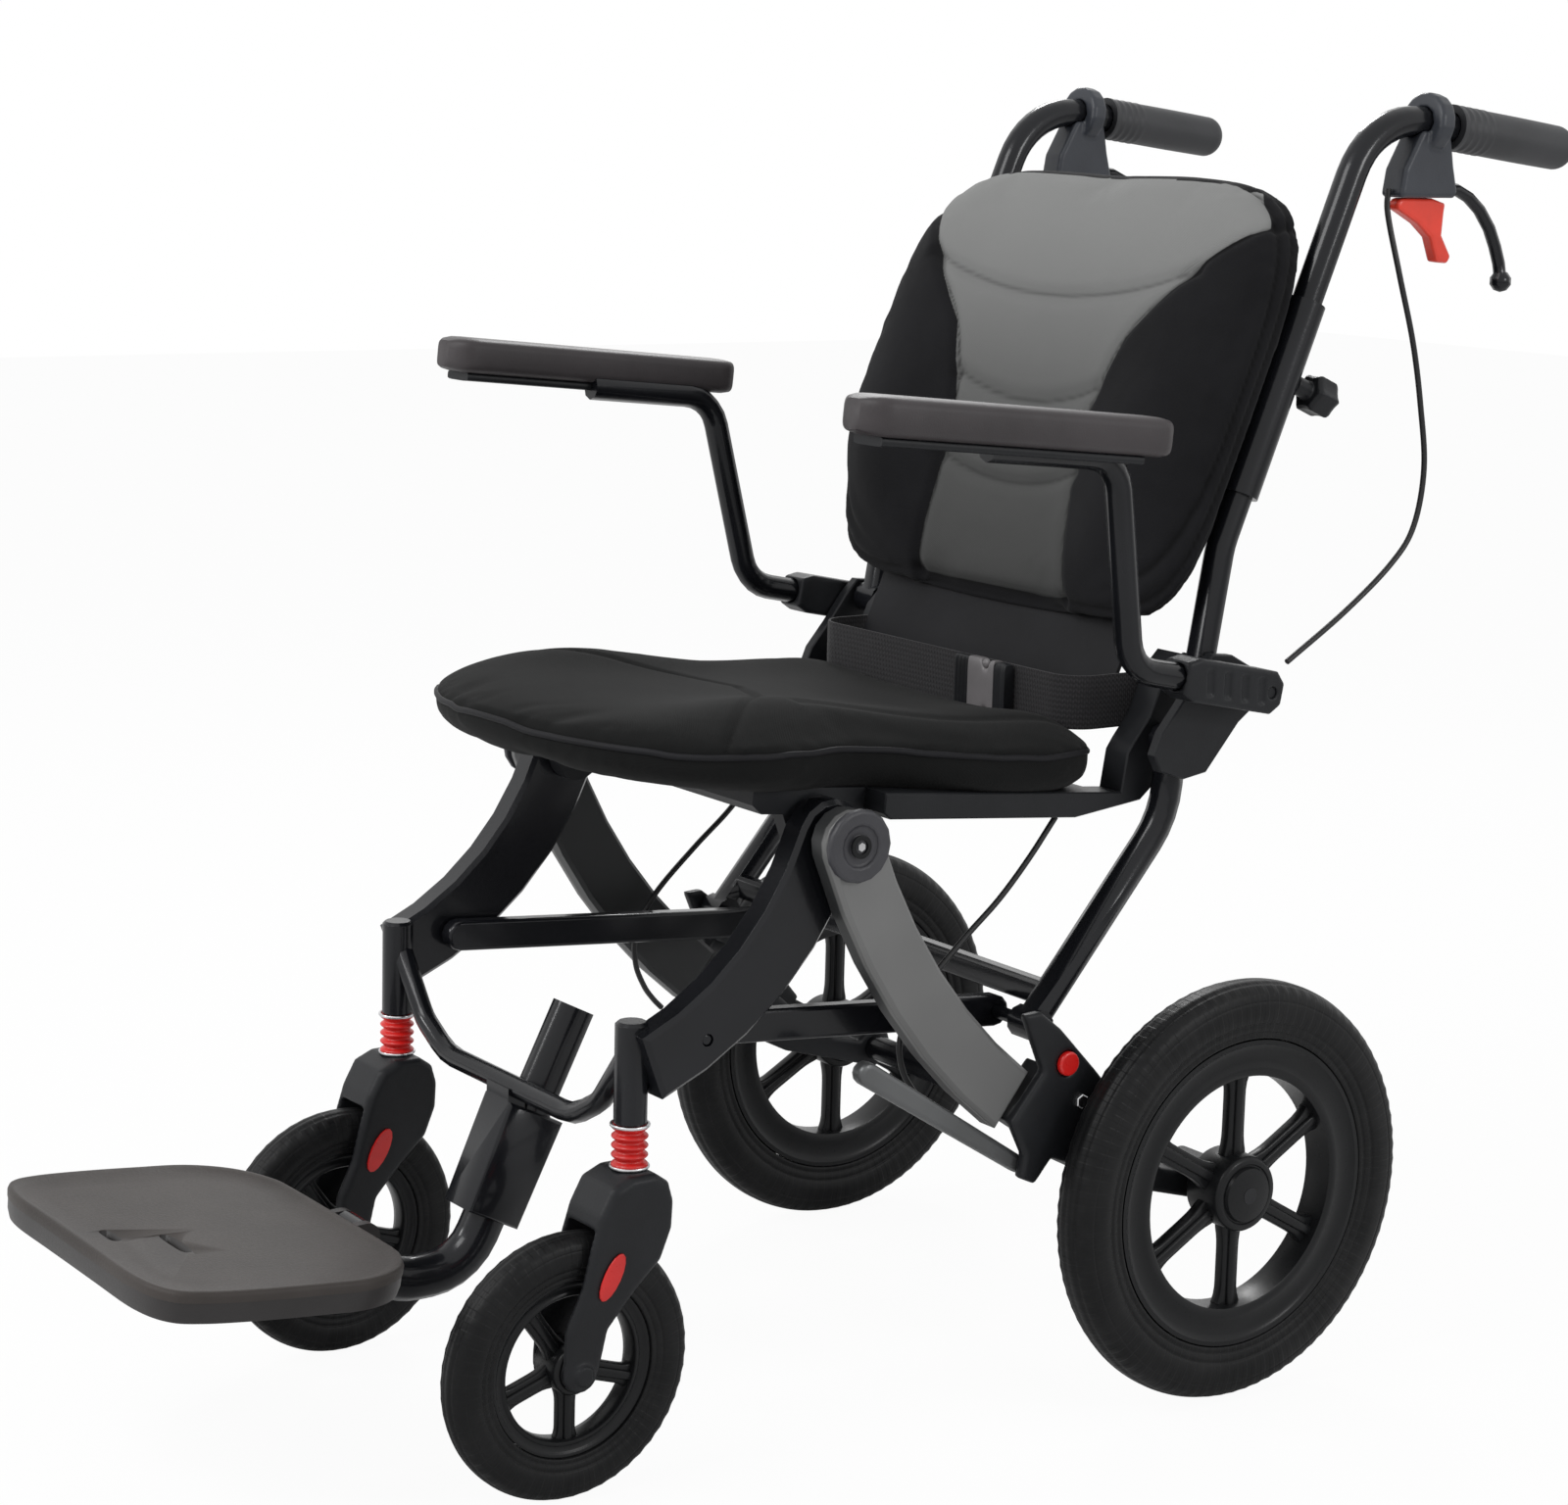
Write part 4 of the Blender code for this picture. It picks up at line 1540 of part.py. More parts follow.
def box_middle_y():
    """Middle of the chair's box in Y: from the footplate's front edge to the grips' ends."""
    mouth, rise, reach = handle_frame(1)
    corner = mouth + rise * HANDLE_STRAIGHT
    grip_ends = [corner.y + reach.y * (GRIP_END - back) + (GRIP_RADIUS - trim) * math.sin(
        math.radians(HANDLE_DROOP_DEG)) for back, trim in ((0.0, 0.008), (0.003, 0.003), (0.012, 0.0))]
    return (PLATE_FRONT_Y + max(grip_ends)) / 2


def hang(parent, name, place, members):
    """Hang pieces on an empty that stands at their joint, moving their meshes to match."""
    holder = bpy.data.objects.new(name, None)
    holder.empty_display_size = 0.02
    bpy.context.scene.collection.objects.link(holder)
    holder.parent = parent
    holder.location = place
    for member in members:
        member.data.transform(Matrix.Translation(-Vector(place)))
        member.parent = holder
    return holder


def build_chair():
    clear_scene()
    chair = bpy.data.objects.new("wheelchair", None)
    bpy.context.scene.collection.objects.link(chair)
    chair.location = (0.0, -box_middle_y(), 0.0)
    fixed = [build_axle_tube()]
    front = [build_front_cross_tube()]
    for side in (1, -1):
        fixed += [build_rear_leg(side), build_lock_bracket(side), build_pivot_bolt(side),
                  build_lower_cable(side)]
        front.append(build_front_leg(side))
        y, z = button_place()
        hang(chair, side_name("button_axis", side), (side * CHEEK_OUTER_X, y, z),
             [build_release_button(side)])
        hang(chair, side_name("rear_wheel_axis", side), (side * WHEEL_X, *AXLE), build_rear_wheel(side))
        hang(chair, side_name("caster_swivel_axis", side), (side * CASTER_X, CASTER_Y, CROWN_TOP),
             [build_caster_fork(side), build_bushing(side), build_reflector(side)])
        hang(chair, side_name("caster_wheel_axis", side), (side * CASTER_X, *CASTER_AXLE),
             build_caster_wheel(side))
        hang(chair, side_name("armrest_axis", side), (side * ARM_BRACKET_INNER_X, *ARM_PIVOT),
             [build_armrest_tube(side), build_armrest_pad(side), build_arm_bracket(side)])
        mouth, _, _ = handle_frame(side)
        hang(chair, side_name("handle_axis", side), mouth,
             [build_handle_tube(side), build_grip(side), build_lever_clamp(side),
              build_brake_cable(side)])
        hang(chair, side_name("lever_axis", side), lever_pivot(side), [build_brake_lever(side)])
        hang(chair, side_name("catch_axis", side), catch_pivot(side), [build_brake_catch(side)])
        hang(chair, side_name("knob_axis", side), knob_seat(side), [build_clamp_knob(side)])
    hang(chair, "rear_frame", (0, *AXLE), fixed)
    hang(chair, "brake_arm_axis", (CHEEK_INNER_X, BRAKE_ARM_PIVOT_Y, BRAKE_ARM_PIVOT_Z),
         [build_brake_arm()])
    hang(chair, "fold_axis", (0, *PIVOT), front)
    hang(chair, "foot_slide_axis", (0, *post_point(0)), [build_foot_post()])
    hang(chair, "footplate_axis", (0, *plate_hinge()), [build_footplate()])
    hang(chair, "link_axis", (0, *LINK_FRONT), [build_fold_link(side) for side in (1, -1)])
    hang(chair, "strut_axis", (0, *STRUT_PIVOT), [build_strut_frame()])
    hang(chair, "seat_axis", (0, *PIVOT),
         [build_seat_frame(), build_seat_cushion(), build_lap_belt(), build_belt_buckle()])
    hang(chair, "back_axis", (0, *BACK_PIVOT), [build_back_frame(), build_back_cushion()])


build_chair()
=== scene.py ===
# %% [markdown]
# # A folding travel wheelchair
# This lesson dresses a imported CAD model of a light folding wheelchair. The model is loaded as a
# fixed frame. Tubes, castings and legs are copies of its nodes with better shading and edges.
# Tyres, rims, cushions, belt, footplate, grips and cables are made again here with finer surfaces,
# each in the place of its node.

# %% Load the frame
import json
import math
import bpy
import bmesh
import numpy as np
from mathutils import Matrix, Vector

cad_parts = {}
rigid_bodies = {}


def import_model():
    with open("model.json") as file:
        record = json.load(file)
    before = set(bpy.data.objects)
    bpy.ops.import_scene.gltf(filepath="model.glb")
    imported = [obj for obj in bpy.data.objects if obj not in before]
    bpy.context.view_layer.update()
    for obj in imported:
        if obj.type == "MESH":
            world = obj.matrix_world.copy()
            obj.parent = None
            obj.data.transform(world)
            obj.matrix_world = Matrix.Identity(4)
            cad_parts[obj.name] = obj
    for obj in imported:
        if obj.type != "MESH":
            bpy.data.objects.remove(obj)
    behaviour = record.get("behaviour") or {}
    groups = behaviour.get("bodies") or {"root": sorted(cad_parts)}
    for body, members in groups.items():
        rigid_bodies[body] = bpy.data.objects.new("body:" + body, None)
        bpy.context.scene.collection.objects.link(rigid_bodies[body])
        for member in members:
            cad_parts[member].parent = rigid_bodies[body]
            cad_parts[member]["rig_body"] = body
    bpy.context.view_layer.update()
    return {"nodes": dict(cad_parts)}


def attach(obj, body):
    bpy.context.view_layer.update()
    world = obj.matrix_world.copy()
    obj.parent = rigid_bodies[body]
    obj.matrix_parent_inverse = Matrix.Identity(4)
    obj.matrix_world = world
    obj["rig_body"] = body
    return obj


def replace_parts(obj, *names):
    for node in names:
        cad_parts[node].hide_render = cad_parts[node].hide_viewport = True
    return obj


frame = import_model()
nodes = frame["nodes"]

# %% [markdown]
# ## Where things are
# Lengths were measured from the rear axle. The CAD's origin lies under the middle of the chair, so
# one shift along Y takes a measured place to the frame. The chair faces -Y, and +X is the sitter's
# left, which is the side nearer to the camera. The seat, the back, the footplate and the armrests
# are tilted, so each has a plane of its own.

# %% Measured places
SHIFT = 0.21923
REAR_WHEEL = (0.239, SHIFT, 0.150)
CASTER_WHEEL = (0.156, -0.492 + SHIFT, 0.089)
PIVOT = (-0.307 + SHIFT, 0.420)
SIDES = (("left", 1.0), ("right", -1.0))
UPRIGHT = (0.0, 0.0, 1.0)
GAP = 0.0003
CABLE_RADIUS = 0.0022


def mirrored(side, place):
    """A place of the left half of the chair, or its mirror image on the right."""
    return np.array([side * place[0], *place[1:]])


class Plane:
    """A tilted plane seen from the side: an origin and two square directions, each as (y, z)."""

    def __init__(self, origin, along, up):
        self.origin, self.along, self.up = origin, along, up

    def at(self, along, up):
        """(y, z) of a place counted in the two directions; arrays work too."""
        return (self.origin[0] + along * self.along[0] + up * self.up[0],
                self.origin[1] + along * self.along[1] + up * self.up[1])

    def local(self, points):
        """(x, along, up) of points of the frame."""
        y, z = points[:, 1] - self.origin[0], points[:, 2] - self.origin[1]
        return points[:, 0], y * self.along[0] + z * self.along[1], y * self.up[0] + z * self.up[1]


def falling(degrees):
    """Two directions of a plane that falls to the rear: rearward along it, and square to it."""
    c, s = math.cos(math.radians(degrees)), math.sin(math.radians(degrees))
    return np.array([c, -s]), np.array([s, c])


rear, up = falling(5.05)
seat_plane = Plane(PIVOT, rear, up)
rear, up = falling(22.6)
back_plane = Plane(seat_plane.at(0.290, 0.118), up, -rear)
rear, up = falling(5.5)
tray_plane = Plane((-0.573 + SHIFT, 0.159), -rear, up)
rear, up = falling(5.2)
arm_plane = Plane((-0.357 + SHIFT, 0.718), rear, up)

# %% [markdown]
# ## The camera
# The camera stands where the photograph's perspective puts it: the wheels' ellipses and the two
# sides' widths fix its direction and its distance. A turned and shifted frame keeps the picture's
# own centre.

# %% Camera
def shown(name, data):
    """A new object in the scene."""
    thing = bpy.data.objects.new(name, data)
    bpy.context.scene.collection.objects.link(thing)
    return thing


CAMERA_AT = (1.948, -1.590 + SHIFT, 0.887)
FOCAL_PX, CENTRE_PX = 3500.081, (800.868, 705.090)
WIDTH_PX, HEIGHT_PX = 1600, 1536
azimuth, elevation, roll = np.radians([54.963, 9.622, 1.489])
forward = np.array([-math.sin(azimuth) * math.cos(elevation),
                    math.cos(azimuth) * math.cos(elevation), -math.sin(elevation)])
right = np.array([math.cos(azimuth), math.sin(azimuth), 0.0])
above = np.cross(right, forward)
turned_right = right * math.cos(roll) + above * math.sin(roll)
turned_up = -right * math.sin(roll) + above * math.cos(roll)
lens = bpy.data.cameras.new("view")
lens.sensor_fit = "HORIZONTAL"
lens.sensor_width = 36.0
lens.lens = 36.0 * FOCAL_PX / WIDTH_PX
lens.shift_x = (WIDTH_PX / 2 - CENTRE_PX[0]) / WIDTH_PX
lens.shift_y = (CENTRE_PX[1] - HEIGHT_PX / 2) / WIDTH_PX
lens.clip_start, lens.clip_end = 0.05, 60.0
camera = shown("view", lens)
place = Matrix([[*axis] for axis in np.stack([turned_right, turned_up, -forward], 1)]).to_4x4()
place.translation = CAMERA_AT
camera.matrix_world = place
bpy.context.scene.camera = camera
print("camera: lens", round(lens.lens, 2), "mm")

# %% [markdown]
# ## Shader maths as Python sums
# A material's pattern is a sum of waves, noises and distances. Written node by node such a sum is
# hard to read, so a small class wraps a socket and gives it the usual operators. Each operator adds
# one Math node. Every other node comes from one method that takes its type, settings and sockets.


# %% A socket that can be added and multiplied
class Value:
    """One number of a material that varies over the surface, usable in Python expressions."""

    def __init__(self, finish, socket):
        self.finish, self.socket = finish, socket

    def math(self, operation, *others):
        """Add one Math node that works on this value and the others."""
        node = self.finish.add("ShaderNodeMath", dict(operation=operation), *(self, *others))
        return Value(self.finish, node.outputs[0])

    def __add__(self, other): return self.math("ADD", other)
    def __mul__(self, other): return self.math("MULTIPLY", other)
    def __sub__(self, other): return self.math("SUBTRACT", other)
    def __rsub__(self, other): return self * -1.0 + other
    __radd__, __rmul__ = __add__, __mul__

    def sin(self): return self.math("SINE")
    def abs(self): return self.math("ABSOLUTE")
    def angle(self, other): return self.math("ARCTAN2", other)

    def rise(self, low, high, start=0.0, end=1.0):
        """Smooth step from start, below low, to end, above high."""
        settings = dict(interpolation_type="SMOOTHSTEP", clamp=True)
        node = self.finish.add("ShaderNodeMapRange", settings, self, low, high, start, end)
        return Value(self.finish, node.outputs[0])


# %% A material with one way to add nodes
class Finish:
    """A Principled material. Steady values are set on its sockets, varying ones are linked."""

    def __init__(self, name, colour, roughness, **steady):
        self.material = bpy.data.materials.new(name)
        self.material.use_nodes = True
        self.tree = self.material.node_tree
        self.shader = self.tree.nodes["Principled BSDF"]
        self.colour = (*colour, 1.0)
        self.shader.inputs["Base Color"].default_value = self.colour
        self.shader.inputs["Roughness"].default_value = roughness
        self.material.diffuse_color = self.colour
        for socket, value in steady.items():
            self.shader.inputs[socket.replace("_", " ")].default_value = value

    def put(self, socket, value):
        """Link a value or another node's socket, or else set the socket to a plain number."""
        if isinstance(value, Value):
            self.tree.links.new(value.socket, socket)
        elif hasattr(value, "is_output"):
            self.tree.links.new(value, socket)
        else:
            socket.default_value = value

    def add(self, kind, settings=None, *positional, **named):
        """Add a node: its settings first, then its sockets by place or by name."""
        node = self.tree.nodes.new(kind)
        for key, value in (settings or {}).items():
            setattr(node, key, value)
        for index, value in enumerate(positional):
            if value is not None:
                self.put(node.inputs[index], value)
        for key, value in named.items():
            self.put(node.inputs[key.replace("_", " ")], value)
        return node

    def axes(self, centre=(0.0, 0.0, 0.0)):
        """The X, Y and Z of the object's own coordinates, counted from a centre."""
        coords = self.add("ShaderNodeTexCoord").outputs["Object"]
        moved = self.add("ShaderNodeVectorMath", dict(operation="SUBTRACT"), coords, centre)
        parts = self.add("ShaderNodeSeparateXYZ", None, moved.outputs[0])
        return [Value(self, socket) for socket in parts.outputs]

    def noise(self, scale, detail=2.0, roughness=0.5):
        """Noise in the object's own coordinates, from 0 to 1; a larger scale is finer."""
        coords = self.add("ShaderNodeTexCoord").outputs["Object"]
        node = self.add("ShaderNodeTexNoise", None, Vector=coords, Scale=scale, Detail=detail,
                        Roughness=roughness)
        return Value(self, node.outputs["Fac"])

    def attribute(self, name):
        """A number that is stored on the mesh's points."""
        node = self.add("ShaderNodeAttribute", dict(attribute_name=name))
        return Value(self, node.outputs["Fac"])

    def blend(self, mask, low, high):
        """Mix two colours, or two colour sockets, by a mask."""
        node = self.add("ShaderNodeMix", dict(data_type="RGBA"))
        self.put(node.inputs["Factor"], mask)
        self.put(node.inputs[6], low if hasattr(low, "is_output") else (*low, 1.0))
        self.put(node.inputs[7], high if hasattr(high, "is_output") else (*high, 1.0))
        return node.outputs[2]

    def drive(self, **sockets):
        """Link or set the Principled shader's sockets by name."""
        for key, value in sockets.items():
            self.put(self.shader.inputs[key.replace("_", " ")], value)
        return self

    def bump(self, height, depth, strength=1.0):
        """Relief: height from 0 to 1 stands for depth metres."""
        node = self.add("ShaderNodeBump", None, Strength=strength, Distance=depth, Height=height)
        return self.drive(Normal=node.outputs["Normal"])


# %% [markdown]
# ## Paint, extrusion and moulded plastic
# The frame is gloss black powder coat: dark, slightly metallic, with a faint orange peel that
# breaks up long highlights. The rear legs are satin grey extrusions with fine lines along them.
# Castings and brackets are black plastic with a spark-eroded grain. Each is a base colour varied a
# little by noise, with a bump far finer than the part.


# %% Plain finishes
def shades(colour, low, high):
    """The colour darkened and lightened by two factors, for a noise, or for the back panel's
    painted light by height, to run between.
    """
    return [tuple(min(1.0, channel * factor) for channel in colour) for factor in (low, high)]


def painted(name, colour, roughness, metallic, peel=0.00012, coat=0.6):
    """Powder coat: a colour clouded by a slow noise, under the faint peel of a fine one."""
    finish = Finish(name, colour, roughness, Metallic=metallic, Coat_Roughness=0.10,
                    Specular_IOR_Level=0.22)
    cloud = finish.noise(9.0, 3.0)
    grain = finish.noise(420.0, 2.0)
    finish.drive(Base_Color=finish.blend(cloud.rise(0.3, 0.7), *shades(colour, 0.82, 1.25)),
                 Roughness=cloud * 0.12 + (roughness - 0.05), Coat_Weight=coat)
    return finish.bump(grain, peel, 0.5)


def moulded(name, colour, roughness, grain_scale=650.0, depth=0.00015, level=0.4):
    """Plastic: a colour clouded by a slow noise, with roughness and relief from a fine grain."""
    finish = Finish(name, colour, roughness, Specular_IOR_Level=level)
    cloud = finish.noise(14.0, 4.0, 0.6)
    grain = finish.noise(grain_scale, 3.0, 0.7)
    finish.drive(Base_Color=finish.blend(cloud.rise(0.25, 0.75), *shades(colour, 0.8, 1.22)),
                 Roughness=grain * 0.16 + (roughness - 0.08))
    return finish.bump(grain, depth, 0.7)


def extrusion(name, colour):
    """Satin grey with brushed lines and a fine fleck; all but the outer face is dark, by |x|."""
    finish = Finish(name, colour, 0.46, Metallic=0.35, Specular_IOR_Level=0.45)
    x = finish.axes()[0]
    cloud = finish.noise(6.0, 3.0)
    fleck = finish.noise(1400.0, 1.0)
    lines = (x * 5200.0 + finish.noise(60.0) * 3.0).sin() * 0.5 + 0.5
    outer = finish.blend(cloud.rise(0.3, 0.7), *shades(colour, 0.88, 1.12))
    is_outer = x.abs().rise(0.1945, 0.1965)
    finish.drive(Base_Color=finish.blend(is_outer, (0.030, 0.031, 0.032), outer),
                 Roughness=fleck * 0.14 + 0.40)
    return finish.bump(lines * 0.5 + fleck * 0.5, 0.00008, 0.6)


frame_paint = painted("frame_paint", (0.0075, 0.0080, 0.0100), 0.24, 0.15, coat=0.22)
arm_metal = painted("cast_arm", (0.115, 0.118, 0.120), 0.40, 0.6, coat=0.1)
leg_paint = extrusion("leg_extrusion", (0.165, 0.166, 0.165))
bracket_plastic = moulded("bracket_plastic", (0.0115, 0.0122, 0.0140), 0.42, level=0.22)
rim_plastic = moulded("rim_plastic", (0.0080, 0.0084, 0.0092), 0.30, 500.0, 0.00008, 0.20)
cap_plastic = moulded("pivot_cap", (0.040, 0.040, 0.046), 0.44)
buckle_plastic = moulded("buckle_plastic", (0.150, 0.142, 0.146), 0.38, 520.0, 0.00010)
lever_plastic = moulded("lever_body", (0.032, 0.036, 0.045), 0.40)
red_plastic = moulded("signal_red", (0.62, 0.012, 0.010), 0.30, 300.0, 0.00005, 0.5)
catch_plastic = moulded("catch_red", (0.80, 0.050, 0.025), 0.34, 300.0, 0.00005, 0.5)
pad_skin = moulded("armrest_skin", (0.040, 0.035, 0.037), 0.48, 900.0, 0.00020, 0.32)
grip_rubber = moulded("grip_rubber", (0.034, 0.035, 0.038), 0.52, 800.0, 0.00018)
cable_skin = moulded("cable_skin", (0.010, 0.010, 0.011), 0.40, 400.0, 0.00004)
steel = painted("zinc_screw", (0.52, 0.52, 0.53), 0.28, 1.0, 0.00004, 0.0)
print("plain finishes:", len(bpy.data.materials))

# %% [markdown]
# ## Cloth
# The covers are a fine spacer mesh over foam, and the backrest has a smoother grey panel let in.
# A real weave follows the surface. At this size it is finer than the panel's curves, so three waves
# in the object's own X, Y and Z give an even weave on every face. The panel, the seams and the
# shading near them come from numbers that are stored on the cushion's points.


# %% Cloth finishes
def cloth(name, colour, pitch, depth, roughness=0.92, panel=None):
    """Weave of two crossed waves, with a stored mask for a second colour and for the seams; the
    second colour carries painted light, lighter towards the top and darker towards the foot.
    """
    finish = Finish(name, colour, roughness, Sheen_Weight=0.04, Sheen_Roughness=0.5,
                    Specular_IOR_Level=0.10)
    x, y, z = finish.axes()
    wave = 2 * math.pi / pitch
    weave = ((x * wave).sin() * ((y + z) * wave).sin()) * 0.5 + 0.5
    fuzz = finish.noise(1500.0, 2.0)
    cloud = finish.noise(11.0, 3.0, 0.6)
    base = finish.blend(cloud.rise(0.25, 0.75), *shades(colour, 0.78, 1.25))
    if panel:
        # Painted light: the panel's grey runs from dark at the foot to light at the top with
        # height, as light from above would shade it.
        panel_painted_light = finish.blend(z.rise(0.58, 0.88) + cloud * 0.10 - 0.05, *shades(panel, 0.50, 1.85))
        base = finish.blend(finish.attribute("panel").rise(0.42, 0.58), base, panel_painted_light)
    seam = finish.attribute("seam")
    dark = finish.blend(weave * 0.25, base, (0.0, 0.0, 0.0))
    finish.drive(Base_Color=finish.blend(seam * 0.75, dark, (0.004, 0.004, 0.004)))
    return finish.bump(weave * 0.65 + fuzz * 0.35, depth, 0.6)


def webbing(name, colour, pick=0.0018, rib=0.0036):
    """Strap cloth: ribs along the strap and fine picks across it, from its own UV in metres."""
    finish = Finish(name, colour, 0.78, Sheen_Weight=0.12, Specular_IOR_Level=0.25)
    spot = finish.add("ShaderNodeUVMap", dict(uv_map="strap"))
    split = finish.add("ShaderNodeSeparateXYZ", None, spot.outputs[0])
    u, v, _ = (Value(finish, socket) for socket in split.outputs)
    picks = (u * (2 * math.pi / pick)).sin() * 0.5 + 0.5
    ribs = (v * (2 * math.pi / rib) + (u * (math.pi / pick)).sin()).sin() * 0.5 + 0.5
    finish.drive(Base_Color=finish.blend(ribs * picks, *shades(colour, 0.6, 1.5)))
    return finish.bump(ribs * 0.6 + picks * 0.4, 0.0005, 0.9)


seat_cloth = cloth("seat_cloth", (0.0095, 0.0098, 0.0098), 0.0016, 0.0003)
back_cloth = cloth("back_cloth", (0.0115, 0.0115, 0.0130), 0.0016, 0.0003, 0.88,
                   panel=(0.170, 0.172, 0.170))
flap_cloth = moulded("flap_cloth", (0.0100, 0.0100, 0.0115), 0.60, 900.0, 0.00012, 0.16)
strap_cloth = webbing("strap_cloth", (0.020, 0.019, 0.021))


# %% [markdown]
# ## Rubber and the footplate
# The tyres are solid rubber: near black, a little dusty, with fine blocks that an angle about the
# axle counts. The footplate is warm grey plastic with a coarse pebble grain.


# %% Tread and tray
def rubber(name, axle, count):
    """Tread rubber: blocks across the tread, counted by the angle about the axle."""
    finish = Finish(name, (0.007, 0.007, 0.0075), 0.46, Specular_IOR_Level=0.17)
    _, y, z = finish.axes((0.0, *axle[1:]))
    blocks = (y.angle(z) * count).sin().rise(-0.2, 0.4)
    dust = finish.noise(24.0, 4.0, 0.65)
    finish.drive(Base_Color=finish.blend(dust.rise(0.35, 0.8), (0.0050, 0.0052, 0.0056),
                                         (0.0120, 0.0120, 0.0125)),
                 Roughness=dust * 0.22 + 0.32)
    return finish.bump(blocks * finish.noise(30.0) + finish.noise(900.0) * 0.2, 0.0006, 0.5)


def tray(name, colour):
    """Footplate plastic: slow clouds in the colour under a pebble grain."""
    finish = Finish(name, colour, 0.50, Specular_IOR_Level=0.16)
    cloud = finish.noise(10.0, 4.0, 0.6)
    pebble = finish.noise(520.0, 3.0, 0.7)
    finish.drive(Base_Color=finish.blend(cloud.rise(0.25, 0.75), *shades(colour, 0.80, 1.20)),
                 Roughness=pebble * 0.2 + 0.38)
    return finish.bump(pebble, 0.0003, 0.8)


rear_rubber = rubber("rear_tread", REAR_WHEEL, 96.0)
caster_rubber = rubber("caster_tread", CASTER_WHEEL, 60.0)
plate_plastic = tray("footplate_plastic", (0.050, 0.044, 0.041))
skirt_plastic = moulded("footplate_skirt", (0.020, 0.018, 0.018), 0.45)
print("all finishes:", len(bpy.data.materials))

# %% [markdown]
# ## Surfaces from arrays
# Every new piece is a grid of points worked out with numpy: rows run along a path and columns run
# round a profile. One function turns a grid into a mesh, closes it, points its faces outwards and
# hangs it on its body.


# %% From a grid of points to a piece
def placed(name, mesh, finish, body):
    """A new object of a mesh, with its material, on its body."""
    mesh.materials.append(finish.material)
    piece = shown(name, mesh)
    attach(piece, body)
    return piece


def finished(name, mesh, finish, body, smooth=60.0, weld=0.0):
    """Give a mesh its outward faces, smooth shading below an angle, a material and a body."""
    bm = bmesh.new()
    bm.from_mesh(mesh)
    if weld:
        bmesh.ops.remove_doubles(bm, verts=bm.verts, dist=weld)
        bmesh.ops.recalc_face_normals(bm, faces=bm.faces)
    if bm.calc_volume(signed=True) < 0:
        bmesh.ops.reverse_faces(bm, faces=bm.faces)
    for edge in bm.edges:
        edge.smooth = len(edge.link_faces) != 2 or edge.calc_face_angle(0.0) < math.radians(smooth)
    for face in bm.faces:
        face.smooth = True
    bm.to_mesh(mesh)
    bm.free()
    return placed(name, mesh, finish, body)


def surface(name, points, finish, body, loop=False, smooth=60.0):
    """Closed mesh of a (rows, columns, 3) grid. The last column joins the first. With loop the
    last row joins the first as well, and without it the two end rows are filled."""
    rows, columns = points.shape[:2]
    r, c = np.meshgrid(np.arange(rows if loop else rows - 1), np.arange(columns), indexing="ij")
    r2, c2 = (r + 1) % rows, (c + 1) % columns
    quads = np.stack([r * columns + c, r * columns + c2, r2 * columns + c2, r2 * columns + c], -1)
    faces = quads.reshape(-1, 4).tolist()
    if not loop:
        faces += [list(range(columns))[::-1], list(range((rows - 1) * columns, rows * columns))]
    mesh = bpy.data.meshes.new(name)
    mesh.from_pydata(points.reshape(-1, 3).tolist(), [], faces)
    return finished(name, mesh, finish, body, smooth)


def one_piece(name, grids, finish, body, smooth=60.0, loops=()):
    """Several closed grids in one mesh, each turned outwards by its own volume. The grids whose
    numbers are in loops close on themselves."""
    merged = bmesh.new()
    for index, grid in enumerate(grids):
        part = surface(f"{name}_part{index}", grid, finish, body, index in loops, smooth)
        merged.from_mesh(part.data)
        bpy.data.objects.remove(part)
    mesh = bpy.data.meshes.new(name)
    merged.to_mesh(mesh)
    merged.free()
    return placed(name, mesh, finish, body)


# %% Grids
def angles(count):
    """Angles that divide a full turn evenly."""
    return np.linspace(0, 2 * math.pi, count, endpoint=False)


def bell(x, middle, width, power=2):
    """exp(-((x - middle) / width)^power): 1 at the middle, near 0 two widths away."""
    return np.exp(-((x - middle) / width) ** power)


def ramp(x, low, width):
    """0 up to low, then a straight rise to 1 over a width."""
    return np.clip((x - low) / width, 0, 1)


def turned(profile, centre, axis=(1.0, 0.0, 0.0), steps=48):
    """Grid of a body of revolution: profile rows are (distance along the axis, radius)."""
    axis = np.array(axis, float) / np.linalg.norm(axis)
    hint = np.array((0, 0, 1) if abs(axis[2]) < 0.9 else (0, 1, 0), float)
    first = hint - axis * hint.dot(axis)
    first /= np.linalg.norm(first)
    angle = angles(steps)
    around = np.cos(angle)[:, None] * first + np.sin(angle)[:, None] * np.cross(axis, first)
    profile = np.array(profile, float)
    return (np.array(centre, float) + profile[:, :1, None] * axis
            + profile[:, 1:2, None] * around[None])


def along(path, count, closed=False):
    """Catmull-Rom curve through the corners of a path, with count points a span."""
    path = np.array(path, float)
    t = np.linspace(0, 1, count, endpoint=False)[:, None, None]
    if closed:
        a, b, c, d = (np.roll(path, shift, 0)[None] for shift in (1, 0, -1, -2))
    else:
        padded = np.vstack([2 * path[0] - path[1], path, 2 * path[-1] - path[-2]])
        a, b, c, d = padded[:-3], padded[1:-2], padded[2:-1], padded[3:]
    spans = 0.5 * (2 * b + (c - a) * t + (2 * a - 5 * b + 4 * c - d) * t ** 2
                   + (3 * b - a - 3 * c + d) * t ** 3)
    curve = spans.transpose(1, 0, 2).reshape(-1, path.shape[1])
    return curve if closed else np.vstack([curve, path[-1:]])


